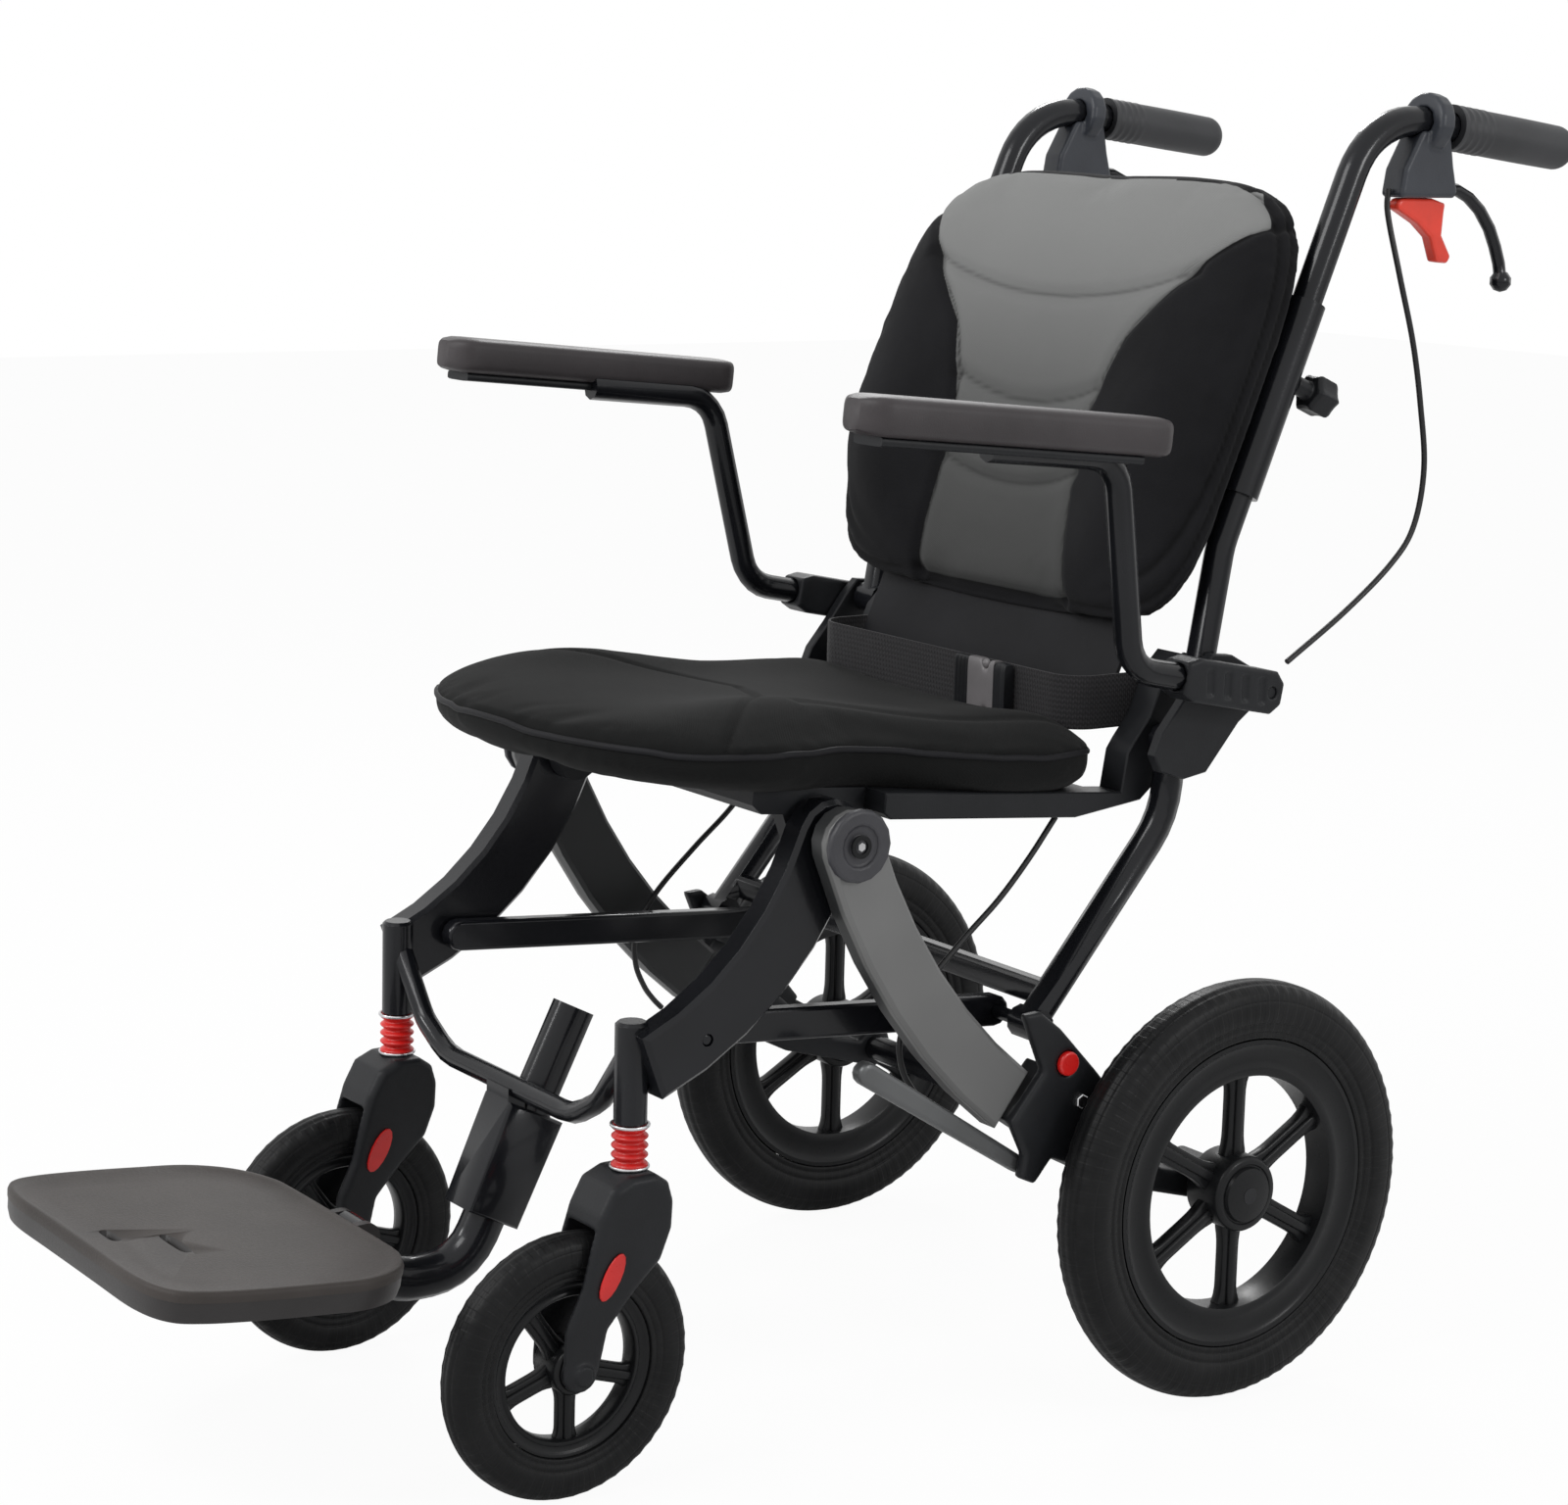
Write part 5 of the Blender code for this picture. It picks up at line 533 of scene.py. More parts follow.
def swept(path, outline, side=(1.0, 0.0, 0.0)):
    """Grid of an outline (across, up) carried along a path: across is side made square to the
    path, and up = path direction x across."""
    path, outline, side = (np.array(each, float) for each in (path, outline, side))
    ahead = np.gradient(path, axis=0)
    ahead /= np.linalg.norm(ahead, axis=1, keepdims=True)
    across = side - ahead * (ahead @ side)[:, None]
    across /= np.linalg.norm(across, axis=1, keepdims=True)
    up = np.cross(ahead, across)
    return path[:, None] + (outline[None, :, :1] * across[:, None]
                            + outline[None, :, 1:] * up[:, None])


def circle(radius, steps):
    """Outline (r cos t, r sin t)."""
    angle = angles(steps)
    return np.stack([np.cos(angle), np.sin(angle)], 1) * radius


def rounded_box(half_w, half_h, power, steps):
    """Superellipse outline |x/w|^p + |y/h|^p = 1, which is a rectangle with soft corners."""
    c, s = np.cos(angles(steps)), np.sin(angles(steps))
    return np.stack([np.sign(c) * np.abs(c) ** (2 / power) * half_w,
                     np.sign(s) * np.abs(s) ** (2 / power) * half_h], 1)


# %% [markdown]
# ## The frame's own pieces
# Tubes, castings and legs keep their CAD shapes. A tube only shades as a round surface. A flat or
# thin piece gets narrow rounded edges, which catch the light. A casting is remeshed fine and
# smoothed, so that its corners round off.

# %% Copies of CAD nodes
WELD = 0.00002


def bare_mesh(node):
    """A copy of a CAD node's mesh without its materials."""
    mesh = nodes[node].data.copy()
    mesh.materials.clear()
    return mesh


def stand_in(node, ending, finish, smooth, flatten=False):
    """A welded copy of a CAD node on its body, in the node's place. flatten joins flat facets."""
    mesh = bare_mesh(node)
    if flatten:
        bm = bmesh.new()
        bm.from_mesh(mesh)
        bmesh.ops.remove_doubles(bm, verts=bm.verts, dist=WELD)
        bmesh.ops.dissolve_limit(bm, angle_limit=math.radians(1.0), verts=bm.verts,
                                 edges=bm.edges)
        bm.to_mesh(mesh)
        bm.free()
    piece = finished(f"{node}_{ending}", mesh, finish, nodes[node]["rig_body"], smooth,
                     0.0 if flatten else WELD)
    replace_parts(piece, node)
    return piece


def softened(node, finish, slot, width, segments=2):
    """A copy with rounded edges, as moulded and cast pieces have them."""
    edge = stand_in(node, "soft", finish, 40.0, True).modifiers.new("edge", "BEVEL")
    edge.limit_method, edge.angle_limit = "ANGLE", math.radians(32.0)
    edge.width, edge.segments, edge.use_clamp_overlap = width, segments, True


def moulding(node, finish, slot, voxel, passes):
    """A copy remeshed fine and smoothed, so its corners round off as cast ones do."""
    piece = stand_in(node, "cast", finish, 180.0)
    remesh = piece.modifiers.new("even", "REMESH")
    remesh.mode, remesh.voxel_size, remesh.use_smooth_shade = "VOXEL", voxel, True
    relax = piece.modifiers.new("relax", "SMOOTH")
    relax.factor, relax.iterations = 0.5, passes


tubes = ["axle_tube", "front_cross_tube", "strut_frame", "foot_post", "back_frame"]
tubes += [f"{tube}_{hand}" for tube in ("armrest_tube", "handle_tube", "brake_lever")
          for hand, _ in SIDES]
for tube in tubes:
    stand_in(tube, "round", frame_paint, 52.0)

PAIRS = (
    (softened, "rear_leg", leg_paint, "leg_grey", 0.0036, 3),
    (softened, "front_leg", frame_paint, "frame_black", 0.0032, 3),
    (moulding, "lock_bracket", bracket_plastic, "plastic_black", 0.0014, 7),
    (softened, "pivot_bolt", cap_plastic, "plastic_black", 0.0012),
    (moulding, "arm_bracket", bracket_plastic, "plastic_black", 0.0010, 4),
    (moulding, "caster_fork", bracket_plastic, "plastic_black", 0.0014, 9),
    (moulding, "clamp_knob", bracket_plastic, "plastic_black", 0.0008, 6),
    (moulding, "lever_clamp", lever_plastic, "plastic_black", 0.0010, 8),
    (softened, "release_button", red_plastic, "signal_red", 0.0006),
    (softened, "fork_reflector", red_plastic, "signal_red", 0.0006),
    (softened, "brake_catch", catch_plastic, "catch_red", 0.0012),
    (softened, "fold_link", frame_paint, "frame_black", 0.0012))
for hand, _ in SIDES:
    for make, name, *rest in PAIRS:
        make(f"{name}_{hand}", *rest)
softened("seat_frame", bracket_plastic, "plastic_black", 0.0014)
softened("brake_arm", arm_metal, "arm_grey", 0.0016)
print("copied pieces:", len(tubes), "tubes and", 2 * len(PAIRS) + 2, "legs, castings and caps")

# %% [markdown]
# ## Wheels
# Each tyre is a section turned about the axle, stepped in its side wall, grooved on its crown and
# scalloped at its two edges. The rims are stepped rings with ribbed spokes and domed hubs. The CAD
# versions are coarse, so each is replaced in its place.

# %% Tyres
TYRE_SECTION = np.array([
    (0.70, 0.0), (0.80, 0.015), (0.83, 0.06), (0.81, 0.12), (0.86, 0.15), (0.90, 0.22),
    (0.885, 0.28), (0.95, 0.32), (1.0, 0.42), (1.0, 0.52), (0.965, 0.64), (0.93, 0.69),
    (0.93, 0.72), (0.84, 0.83), (0.66, 0.92), (0.36, 0.98), (0.06, 1.0)])
GROOVE, SCALLOP = 0.0011, 0.0009


def tyre(kind, hand, side, centre, finish, radius, depth, half, blocks):
    """Section: shares of the half width and of the depth from the bead to the crown, smoothed and
    mirrored. A scallop of the outer radius, blocks times round, cuts the two edges."""
    one = along(TYRE_SECTION, 4)
    x = np.concatenate([one[:, 0], -one[::-1, 0]]) * half
    rise = np.concatenate([one[:, 1], one[::-1, 1]])
    width = half * 0.06
    groove = bell(np.abs(x), half * 0.42, width) + bell(x, 0.0, width)
    angle = angles(blocks * 4)
    shoulder = bell(np.abs(x), half * 0.70, half * 0.14) * (rise > 0.6)
    wave = np.clip(np.sin(angle * blocks) * 1.8, -1, 1)
    r = (radius - depth + depth * rise - GROOVE * groove * (rise > 0.9))[None, :]
    r = r - SCALLOP * shoulder[None, :] * (0.5 + 0.5 * wave[:, None])
    grid = np.stack([np.broadcast_to(side * centre[0] + x, r.shape),
                     centre[1] + r * np.sin(angle)[:, None],
                     centre[2] + r * np.cos(angle)[:, None]], -1)
    piece = surface(f"{kind}_tread_{hand}", grid, finish, f"{kind}_wheel_{hand}",
                    True, 75)
    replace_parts(piece, f"{kind}_tyre_{hand}")


for hand, side in SIDES:
    tyre("rear", hand, side, REAR_WHEEL, rear_rubber,
         radius=0.1498, depth=0.0396, half=0.0178, blocks=84)
    tyre("caster", hand, side, CASTER_WHEEL, caster_rubber,
         radius=0.0888, depth=0.0297, half=0.0134, blocks=50)


# %% Rims with spokes
def rim(centre, outer, inner, half, lip, hub, hub_half, hub_cap, spokes, width, thick, turn):
    """Grids of a stepped ring, two hub drums with domed caps, and spokes of a web and a flange."""
    step = outer - inner
    one = [(1.0, outer), (1.0, outer - lip), (0.93, outer - lip - 0.0010),
           (0.84, outer - lip - step * 0.20), (0.82, inner + step * 0.34),
           (0.90, inner + step * 0.26), (0.92, inner + step * 0.08), (0.84, inner),
           (0.30, inner - 0.0008)]
    ring = [(half * share, r) for share, r in one] + [(-half * share, r) for share, r in one[::-1]]
    grids = [turned(ring, centre, steps=96)]
    drum = [(0.0, 0.0002), (0.0, hub), (hub_half - 0.003, hub), (hub_half - 0.0010, hub - 0.0012),
            (hub_half, hub - 0.0030), (hub_half, hub * 0.80), (hub_half - 0.0008, hub * 0.77),
            (hub_half - 0.0008, hub * 0.74), (hub_half + hub_cap * 0.5, hub * 0.70),
            (hub_half + hub_cap * 0.9, hub * 0.45), (hub_half + hub_cap, 0.0002)]
    grids += [turned([(way * x, r) for x, r in drum], centre) for way in (-1, 1)]
    run = np.linspace(hub - 0.004, inner + 0.003, 14)
    share = np.linspace(0, 1, 14)
    flare = 1 + 0.55 * bell(share, 1.0, 0.13) + 0.35 * bell(share, 0.0, 0.15)
    web = rounded_box(thick * 0.5, width * 0.26, 4.0, 20)
    flange = rounded_box(thick * 0.32, width * 0.5, 5.0, 24)
    across = flange[None, :, :] * np.stack([np.ones_like(flare), flare], 1)[:, None, :]
    for index in range(spokes):
        angle = math.radians(turn + 360 / spokes * index)
        out = np.array([0.0, math.cos(angle), math.sin(angle)])
        path = centre + run[:, None] * out
        grids += [swept(path, web),
                  path[:, None] + across[..., :1] * np.array([1.0, 0.0, 0.0])
                  + across[..., 1:] * np.cross(out, [1.0, 0.0, 0.0])]
    return grids


RIMS = (
    ("rear", REAR_WHEEL, dict(
        outer=0.1096, inner=0.0836, half=0.0142, lip=0.0030, hub=0.0272, hub_half=0.0172,
        hub_cap=0.0040, spokes=6, width=0.0150, thick=0.0150, turn=90.0)),
    ("caster", CASTER_WHEEL, dict(
        outer=0.0586, inner=0.0486, half=0.0090, lip=0.0016, hub=0.0165, hub_half=0.0148,
        hub_cap=0.0006, spokes=5, width=0.0132, thick=0.0120, turn=-90.0)))
for hand, side in SIDES:
    for kind, centre, sizes in RIMS:
        grids = rim(mirrored(side, centre), **sizes)
        wheel = one_piece(f"{kind}_spokes_{hand}", grids, rim_plastic,
                          f"{kind}_wheel_{hand}", 40.0, (0,))
        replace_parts(wheel, f"{kind}_rim_{hand}")
print("wheels: 4 tyres, 4 rims")

# %% [markdown]
# ## Padded cushions
# A cushion is foam in a sewn cover. The form is a closed grid: a crowned top inside a superellipse
# outline, a rounded side and a flat bottom. Blender's cloth solver then inflates it a little, so
# the cover pulls tight as a real one does. Seams and sewn channels are pressed in afterwards,
# because the remesh before the solver would swallow them.


# %% The closed form of a cushion
LOWER_ROWS = ((0.992, 0.80, 0.2), (1.0, 0.55, 0.5), (0.985, 0.25, 0.8), (0.945, 0.05, 1.0),
              (0.90, 0.0, 1.0), (0.6, 0.0, 1.0), (0.3, 0.0, 1.0), (0.02, 0.0, 1.0))


def superellipse(t, power):
    """Radius at angle t of the outline |x|^p + |y|^p = 1."""
    return (np.abs(np.cos(t)) ** power + np.abs(np.sin(t)) ** power) ** (-1 / power)


def pad_grid(outline_power, place, top, side, rings=18, around=160):
    """Rows run from the middle of the top out to the rim, down the side and in again below. The
    outline's power depends on the sine of the angle and on the depth, 0 at the rim to 1 below."""
    t = angles(around)
    c, s = np.cos(t), np.sin(t)
    spread = superellipse(t, outline_power(s, 0.0))
    rows = []
    for q in np.sin(np.linspace(0.02, 1, rings) * math.pi / 2):
        a, b = q * c * spread, q * s * spread
        rows.append(place(a, b, side + top(a, b, np.full_like(a, q))))
    rim_height = side + top(c * spread, s * spread, np.ones_like(c))
    for share, height, depth in LOWER_ROWS:
        lower = superellipse(t, outline_power(s, depth))
        rows.append(place(share * c * lower, share * s * lower, rim_height * height))
    return np.stack(rows)


# %% Points and the cloth solver
def points_of(piece, what="co"):
    """The positions of a piece's vertices, or with "normal" their normals, as rows."""
    flat = np.empty(len(piece.data.vertices) * 3)
    piece.data.vertices.foreach_get(what, flat)
    return flat.reshape(-1, 3)


def put_points(piece, points):
    """Move a piece's vertices to the given rows."""
    piece.data.vertices.foreach_set("co", np.ascontiguousarray(points).ravel())
    piece.data.update()


def applied(piece, modifier):
    """Make a modifier's result the piece's own mesh."""
    bpy.context.view_layer.objects.active = piece
    bpy.ops.object.modifier_apply(modifier=modifier.name)


def inflate(piece, cap, pressure=3.0, voxel=0.0055, frames=20):
    """Remesh, blow the cover up with the cloth solver, keep each point within the cap, and divide
    the faces once."""
    remesh = piece.modifiers.new("even", "REMESH")
    remesh.mode, remesh.voxel_size = "VOXEL", voxel
    applied(piece, remesh)
    start = points_of(piece)
    solver = piece.modifiers.new("cover", "CLOTH")
    solver.settings.use_pressure = True
    solver.settings.uniform_pressure_force = pressure
    solver.settings.effector_weights.gravity = 0.0
    solver.settings.quality = 5
    solver.point_cache.frame_start, solver.point_cache.frame_end = 1, frames
    for step in range(1, frames + 1):
        bpy.context.scene.frame_set(step)
    applied(piece, solver)
    bpy.context.scene.frame_set(1)
    moved = points_of(piece) - start
    size = np.linalg.norm(moved, axis=1, keepdims=True)
    put_points(piece, start + moved * np.minimum(1.0, cap / np.maximum(size, 1e-9)))
    finer = piece.modifiers.new("finer", "SUBSURF")
    finer.levels = finer.render_levels = 1
    applied(piece, finer)


# %% Seams
def distance_to(points, line):
    """Least distance from each point to a polyline."""
    a, b = line[:-1][None], line[1:][None]
    run = b - a
    t = np.clip(((points[:, None] - a) * run).sum(-1) / (run ** 2).sum(-1), 0, 1)
    return np.linalg.norm(points[:, None] - (a + t[..., None] * run), axis=-1).min(1)


def sew(piece, seam, gap, width, depth, where, mark=1.0, fine=0.0014):
    """Press points in along their normals by depth * bell(gap), and mark the seam's fine line."""
    amount = depth * bell(gap, 0.0, width) * where
    put_points(piece, points_of(piece) - points_of(piece, "normal") * amount[:, None])
    np.maximum(seam, mark * bell(gap, 0.0, fine) * where, out=seam)


def store(piece, **masks):
    """Keep masks on the points for the material, and shade the piece smooth."""
    for name, values in masks.items():
        layer = piece.data.attributes.new(name, "FLOAT", "POINT")
        layer.data.foreach_set("value", np.ascontiguousarray(values, np.float32))
    piece.data.polygons.foreach_set("use_smooth", np.ones(len(piece.data.polygons), bool))
    piece.data.update()


# %% Seat cushion form
SEAT_MIDDLE, SEAT_HALF, SEAT_LOW, SEAT_SIDE = 0.036, 0.204, 0.0294, 0.029


def seat_half_width(b):
    """Half width from front (-1) to rear (+1): a lobe, a waist, then the hips."""
    return 0.200 * (1 - 0.018 * (b + 1) / 2) - 0.032 * bell(b, -0.04, 0.40)


def seat_place(a, b, height):
    """a times the half width across, b times the half depth along the seat, height above it."""
    y, z = seat_plane.at(SEAT_MIDDLE + b * SEAT_HALF, SEAT_LOW + height)
    return np.stack([a * seat_half_width(b), y, z], -1)


def seat_top(a, b, edge):
    """Crown, rolled front, dished middle and raised borders at the two sides."""
    swell = 0.012 * (1 - edge ** 4) + 0.003 * bell(b, 0.85, 0.30)
    front = -0.004 * bell(b, -1.0, 0.42)
    dish = -0.004 * bell(b, 0.45, 0.35) * (1 - a * a)
    lobes = 0.35 + 0.65 * bell(b, -0.30, 0.38) + 0.40 * bell(b, 0.90, 0.30)
    border = 0.013 * lobes * bell(np.abs(a), 0.70, 0.24) * (1 - edge ** 6)
    return swell + front + dish + border


def seat_power(s, depth):
    """3.2 + s + 4 s^2 behind the middle: round corners in front and squarer ones behind."""
    return 3.2 + 1.0 * s + 4.0 * np.maximum(0.0, s) ** 2


grid = pad_grid(seat_power, seat_place, seat_top, SEAT_SIDE)
seat_pad = surface("seat_pad", grid, seat_cloth, "seat")
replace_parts(seat_pad, "seat_cushion")
inflate(seat_pad, 0.004)
print("seat pad:", len(seat_pad.data.vertices), "points")

# %% Seat seams
x, far, up = seat_plane.local(points_of(seat_pad))
plan = np.stack([x, far], 1)
upper = ramp(up - SEAT_LOW, 0.022, 0.004)
arrow = np.array([(0.182, -0.098), (0.145, -0.062), (0.092, -0.012), (0.050, 0.018), (0.0, 0.036)])
arrow = np.vstack([arrow, arrow[-2::-1] * [-1, 1]])
reach = np.linspace(-0.15, 0.84, 20)
crease = np.stack([seat_half_width(reach) - 0.052, SEAT_MIDDLE + reach * SEAT_HALF], 1)
seam = np.zeros(len(x))
for line, *cut in ((arrow, 0.0034, 0.0022, upper, 1.0), (crease, 0.0060, 0.0016, upper, 0.3),
                   (crease * [-1, 1], 0.0060, 0.0016, upper, 0.3)):
    sew(seat_pad, seam, distance_to(plan, line), *cut)
store(seat_pad, seam=seam)
print("seat pad: box", np.ptp(points_of(seat_pad), axis=0).round(3).tolist())

# %% Seat piping
def hugging(piece, guide, passes=3):
    """A closed path moved to the piece's nearest points, then evened out by its neighbours."""
    solid = points_of(piece)
    gaps = ((guide[:, None] - solid[None]) ** 2).sum(-1)
    path = solid[gaps.argmin(1)]
    for step in range(passes):
        path = (np.roll(path, 1, 0) + 2 * path + np.roll(path, -1, 0)) / 4
    return path


def welt(name, path, radius, finish, body):
    """A round cord along a closed path; three points past each end keep the seam straight."""
    looped = np.vstack([path[-3:], path, path[:3]])
    grid = swept(looped, circle(radius, 10), UPRIGHT)[3:-3]
    return surface(name, grid, finish, body, loop=True)


turns = angles(220)
spread = superellipse(turns, seat_power(np.sin(turns), 0.0))
a, b = np.cos(turns) * spread, np.sin(turns) * spread
share = 0.86 + 0.10 * bell(b, 0.0, 0.30) - 0.08 * bell(b, -0.72, 0.25)
guide = seat_place(a, b, share * (SEAT_SIDE + seat_top(a, b, np.ones_like(a))))
welt("seat_piping", hugging(seat_pad, guide), 0.0022, flap_cloth, "seat")

# %% Back cushion form
BACK_WIDE, BACK_MIDDLE, BACK_HALF, BACK_SIDE = 0.214, 0.176, 0.174, 0.034
BACK_REAR = 0.0193 + 0.014 + GAP


def back_place(a, b, height):
    """a times the half width, b times the half height up the back, height out of it."""
    tall = BACK_HALF * (1 - 0.06 * height / BACK_SIDE)
    y, z = back_plane.at(BACK_MIDDLE + b * tall, BACK_REAR + height)
    return np.stack([a * BACK_WIDE * (1 - 0.015 * np.maximum(0.0, b) ** 2), y, z], -1)


def back_top(a, b, edge):
    """Crown of the back: the wings stand proud, the middle is hollow and the foot thins out."""
    swell = 0.016 * (1 - edge ** 5)
    wings = 0.006 * bell(np.abs(a), 0.72, 0.20) * (1 - edge ** 8)
    hollow = 0.024 * bell(np.abs(a), 0.0, 0.46, 4) * ramp(0.35, b, 0.9)
    return swell + wings - hollow - 0.008 * np.maximum(0.0, -b - 0.45) / 0.55


def back_power(s, depth):
    """2.9 + 1.4 s, and more towards the foot and the rear face, where corners are squarer."""
    low = np.maximum(0.0, -s)
    return 2.9 + 1.4 * s + 0.6 * low ** 2 + (1.3 - 0.4 * s + 4.2 * low) * depth


grid = pad_grid(back_power, back_place, back_top, BACK_SIDE)
back_pad = surface("back_pad", grid, back_cloth, "back")
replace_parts(back_pad, "back_cushion")
inflate(back_pad, 0.005)
print("back pad:", len(back_pad.data.vertices), "points")

# %% Back panel, channels and ribs
x, high, out = back_plane.local(points_of(back_pad))
plan = np.stack([x, high], 1)
proud = out - BACK_REAR
facing, front = ramp(proud, 0.026, 0.006), ramp(proud, 0.002, 0.005)
edge_line = np.array([(0.085, 0.019), (0.080, 0.060), (0.0755, 0.100), (0.0765, 0.150),
                      (0.096, 0.205), (0.138, 0.250), (0.182, 0.300), (0.190, 0.330)])
half_at = np.interp(high, edge_line[:, 1], edge_line[:, 0], right=0.0)
inside = np.clip((half_at - np.abs(x)) / 0.004 + 0.5, 0, 1) * ramp(0.348, high, 0.004)
ring = (np.abs(x / BACK_WIDE) ** 3.6
        + np.abs((high - BACK_MIDDLE) / BACK_HALF) ** 3.6) ** (1 / 3.6)
fold = 0.972 + 0.05 * ramp(0.165, np.abs(x), 0.05)
panel = inside * front * ramp(high, 0.018, 0.003) * ramp(fold, ring, 0.012)
seam = np.zeros(len(x))
border = along(edge_line, 6)
hem = np.array([(-0.085, 0.019), (0.085, 0.019)])
for line in (border, border * [-1, 1], hem):
    sew(back_pad, seam, distance_to(plan, line), 0.0045, 0.0030, front)
for level, sag, reach in ((0.258, 0.026, 0.150), (0.168, 0.014, 0.078), (0.108, 0.014, 0.080)):
    s = np.linspace(-1, 1, 21)
    line = np.stack([s * reach, level - sag * (1 - s * s)], 1)
    sew(back_pad, seam, distance_to(plan, line), 0.0060, 0.0036, facing, 0.55, 0.0016)
flank = ramp(ring, 0.90, 0.04)
for depth_at in (0.008, 0.018, 0.028):
    sew(back_pad, seam, np.abs(proud - depth_at), 0.0026, 0.0026, flank, fine=0.0012)
store(back_pad, seam=seam, panel=panel)
print("back pad: box", np.ptp(points_of(back_pad), axis=0).round(3).tolist())


# %% Lumbar flap
def flap_place(a, b, height):
    """A thin flap that is sewn to the cushion's foot and closes the gap to the seat."""
    y, z = back_plane.at(b * 0.0498, 0.0258 + height)
    return np.stack([a * 0.1468, y, z], -1)


def flap_top(a, b, edge):
    """A crown of 2.6 mm that falls off with the edge's sixth power."""
    return 0.0026 * (1 - edge ** 6)


def flap_power(s, depth):
    """The ninth power all round, which leaves nearly square corners."""
    return np.full_like(s, 9.0)


grid = pad_grid(flap_power, flap_place, flap_top, 0.0065, rings=10)
flap = surface("lumbar_flap", grid, flap_cloth, "back")
print("lumbar flap: box", np.ptp(points_of(flap), axis=0).round(3).tolist())

# %% [markdown]
# ## Lap belt and buckle
# The belt is one strap that stands on edge, anchored inside the seat's rails. Its thickness is a
# superellipse carried along the route. A UV map in metres lets the weave follow the strap. The
# buckle is three flat mouldings along X with two round arms.

# %% Strap
BELT_FRONT = seat_plane.at(0.211, 0.086)
RAIL_FACE = 0.1525


def belt_route(bend=0.022):
    """Half a rounded U: along one rail, a quarter turn, across the front and back again."""
    side_x = RAIL_FACE - GAP - 0.0012
    back_y, front_y = seat_plane.at(0.283, 0.0)[0], BELT_FRONT[0]
    turn = np.linspace(0, math.pi / 2, 9)
    arc = np.stack([side_x - bend + bend * np.cos(turn), front_y + bend - bend * np.sin(turn)], 1)
    straight = np.stack([np.full(8, side_x), np.linspace(back_y, front_y + 0.024, 8)], 1)
    front = np.stack([np.linspace(side_x - 0.026, 0, 16), np.full(16, front_y)], 1)
    half = np.vstack([straight, arc, front])
    return np.vstack([half, half[-2::-1] * [-1, 1]])


def strap(name, route, middle, half, thick, body):
    """Loft of a thin outline that stands upright along a plan route, with UV = (length, height)."""
    outline = rounded_box(thick / 2, half, 8.0, 28)[:, ::-1]
    path = np.column_stack([route, np.full(len(route), middle)])
    piece = surface(name, swept(path, outline, UPRIGHT), strap_cloth, body)
    length = np.concatenate([[0], np.cumsum(np.linalg.norm(np.diff(path, axis=0), axis=1))])
    flat = np.stack(np.broadcast_arrays(length[:, None], outline[None, :, 0]), -1).reshape(-1, 2)
    layer = piece.data.uv_layers.new(name="strap")
    index = np.empty(len(piece.data.loops), int)
    piece.data.loops.foreach_get("vertex_index", index)
    layer.data.foreach_set("uv", flat[index].ravel())
    return piece


belt = strap("belt_strap", belt_route(), BELT_FRONT[1], half=0.019, thick=0.0023, body="seat")
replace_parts(belt, "lap_belt")
print("belt:", len(belt.data.vertices), "points")

# %% Buckle
BUCKLE_AT = np.array([0.062, 0.1235, 0.4871])


def block(name, along_x, half_y, half_z, finish):
    """A flat moulding along X: one superellipse section for each x, with its own two half sizes."""
    ring = rounded_box(1.0, 1.0, 6.0, 40)
    offset = np.stack(np.broadcast_arrays(along_x[:, None], ring[:, 0] * half_y[:, None],
                                          ring[:, 1] * half_z[:, None]), -1)
    return surface(name, BUCKLE_AT + offset, finish, "seat", smooth=50)


x = np.linspace(-0.0125, 0.0165, 30)
waist = bell(x, 0.0065, 0.0042, 4)
buckle = block("buckle_body", x, np.full_like(x, 0.0047), 0.0204 - 0.0062 * waist, buckle_plastic)
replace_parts(buckle, "belt_buckle")
x = np.linspace(0.0158, 0.0288, 16)
block("buckle_latch", x, 0.0042 - 0.0008 * bell(x, 0.0225, 0.002),
      0.0188 + 0.0012 * np.sin((x - 0.0158) * 240), bracket_plastic)
x = np.linspace(-0.0288, -0.0118, 26)
block("buckle_slide", x, 0.0036 + 0.0008 * np.sin((x + 0.0288) * 1500), np.full_like(x, 0.0200),
      bracket_plastic)
for word, way in (("low", -1), ("high", 1)):
    arm = turned([(-0.0012, 0.0036), (0.0, 0.0036), (0.0014, 0.0026), (0.0016, 0.0004)],
                 BUCKLE_AT + [0.0065, -0.0030, way * 0.0172], (0.0, -1.0, 0.0), 24)
    surface(f"buckle_arm_{word}", arm, buckle_plastic, "seat")
print("buckle: a body, a latch, a slide and two arms")

# %% [markdown]
# ## Footplate
# The plate is a shallow moulded tray. Its plan is a smooth closed curve through a few measured
# corners, and the rim rolls over to a dark skirt. Two slots are cut with exact booleans, because a
# slot's walls must be square to the plate.

# %% Tray with slots
half_plan = [(0.0, 0.060), (0.004, 0.094), (0.020, 0.121), (0.048, 0.1365), (0.085, 0.1385),
             (0.125, 0.1380), (0.160, 0.1340), (0.180, 0.1240), (0.1895, 0.095), (0.1909, 0.040)]
plan = along(half_plan + [(run, -across) for run, across in half_plan[::-1]], 8, closed=True)
PLAN_MIDDLE = np.array([0.098, 0.0])
SKIRT_TOP = -0.0069


def plate_row(shrink, up):
    """The plan's curve drawn in towards its middle by shrink metres, at one height."""
    inward = PLAN_MIDDLE - plan
    inward /= np.linalg.norm(inward, axis=1, keepdims=True)
    spot = plan + inward * shrink
    y, z = tray_plane.at(spot[:, 0], up)
    return np.stack([spot[:, 1], y, z], -1)


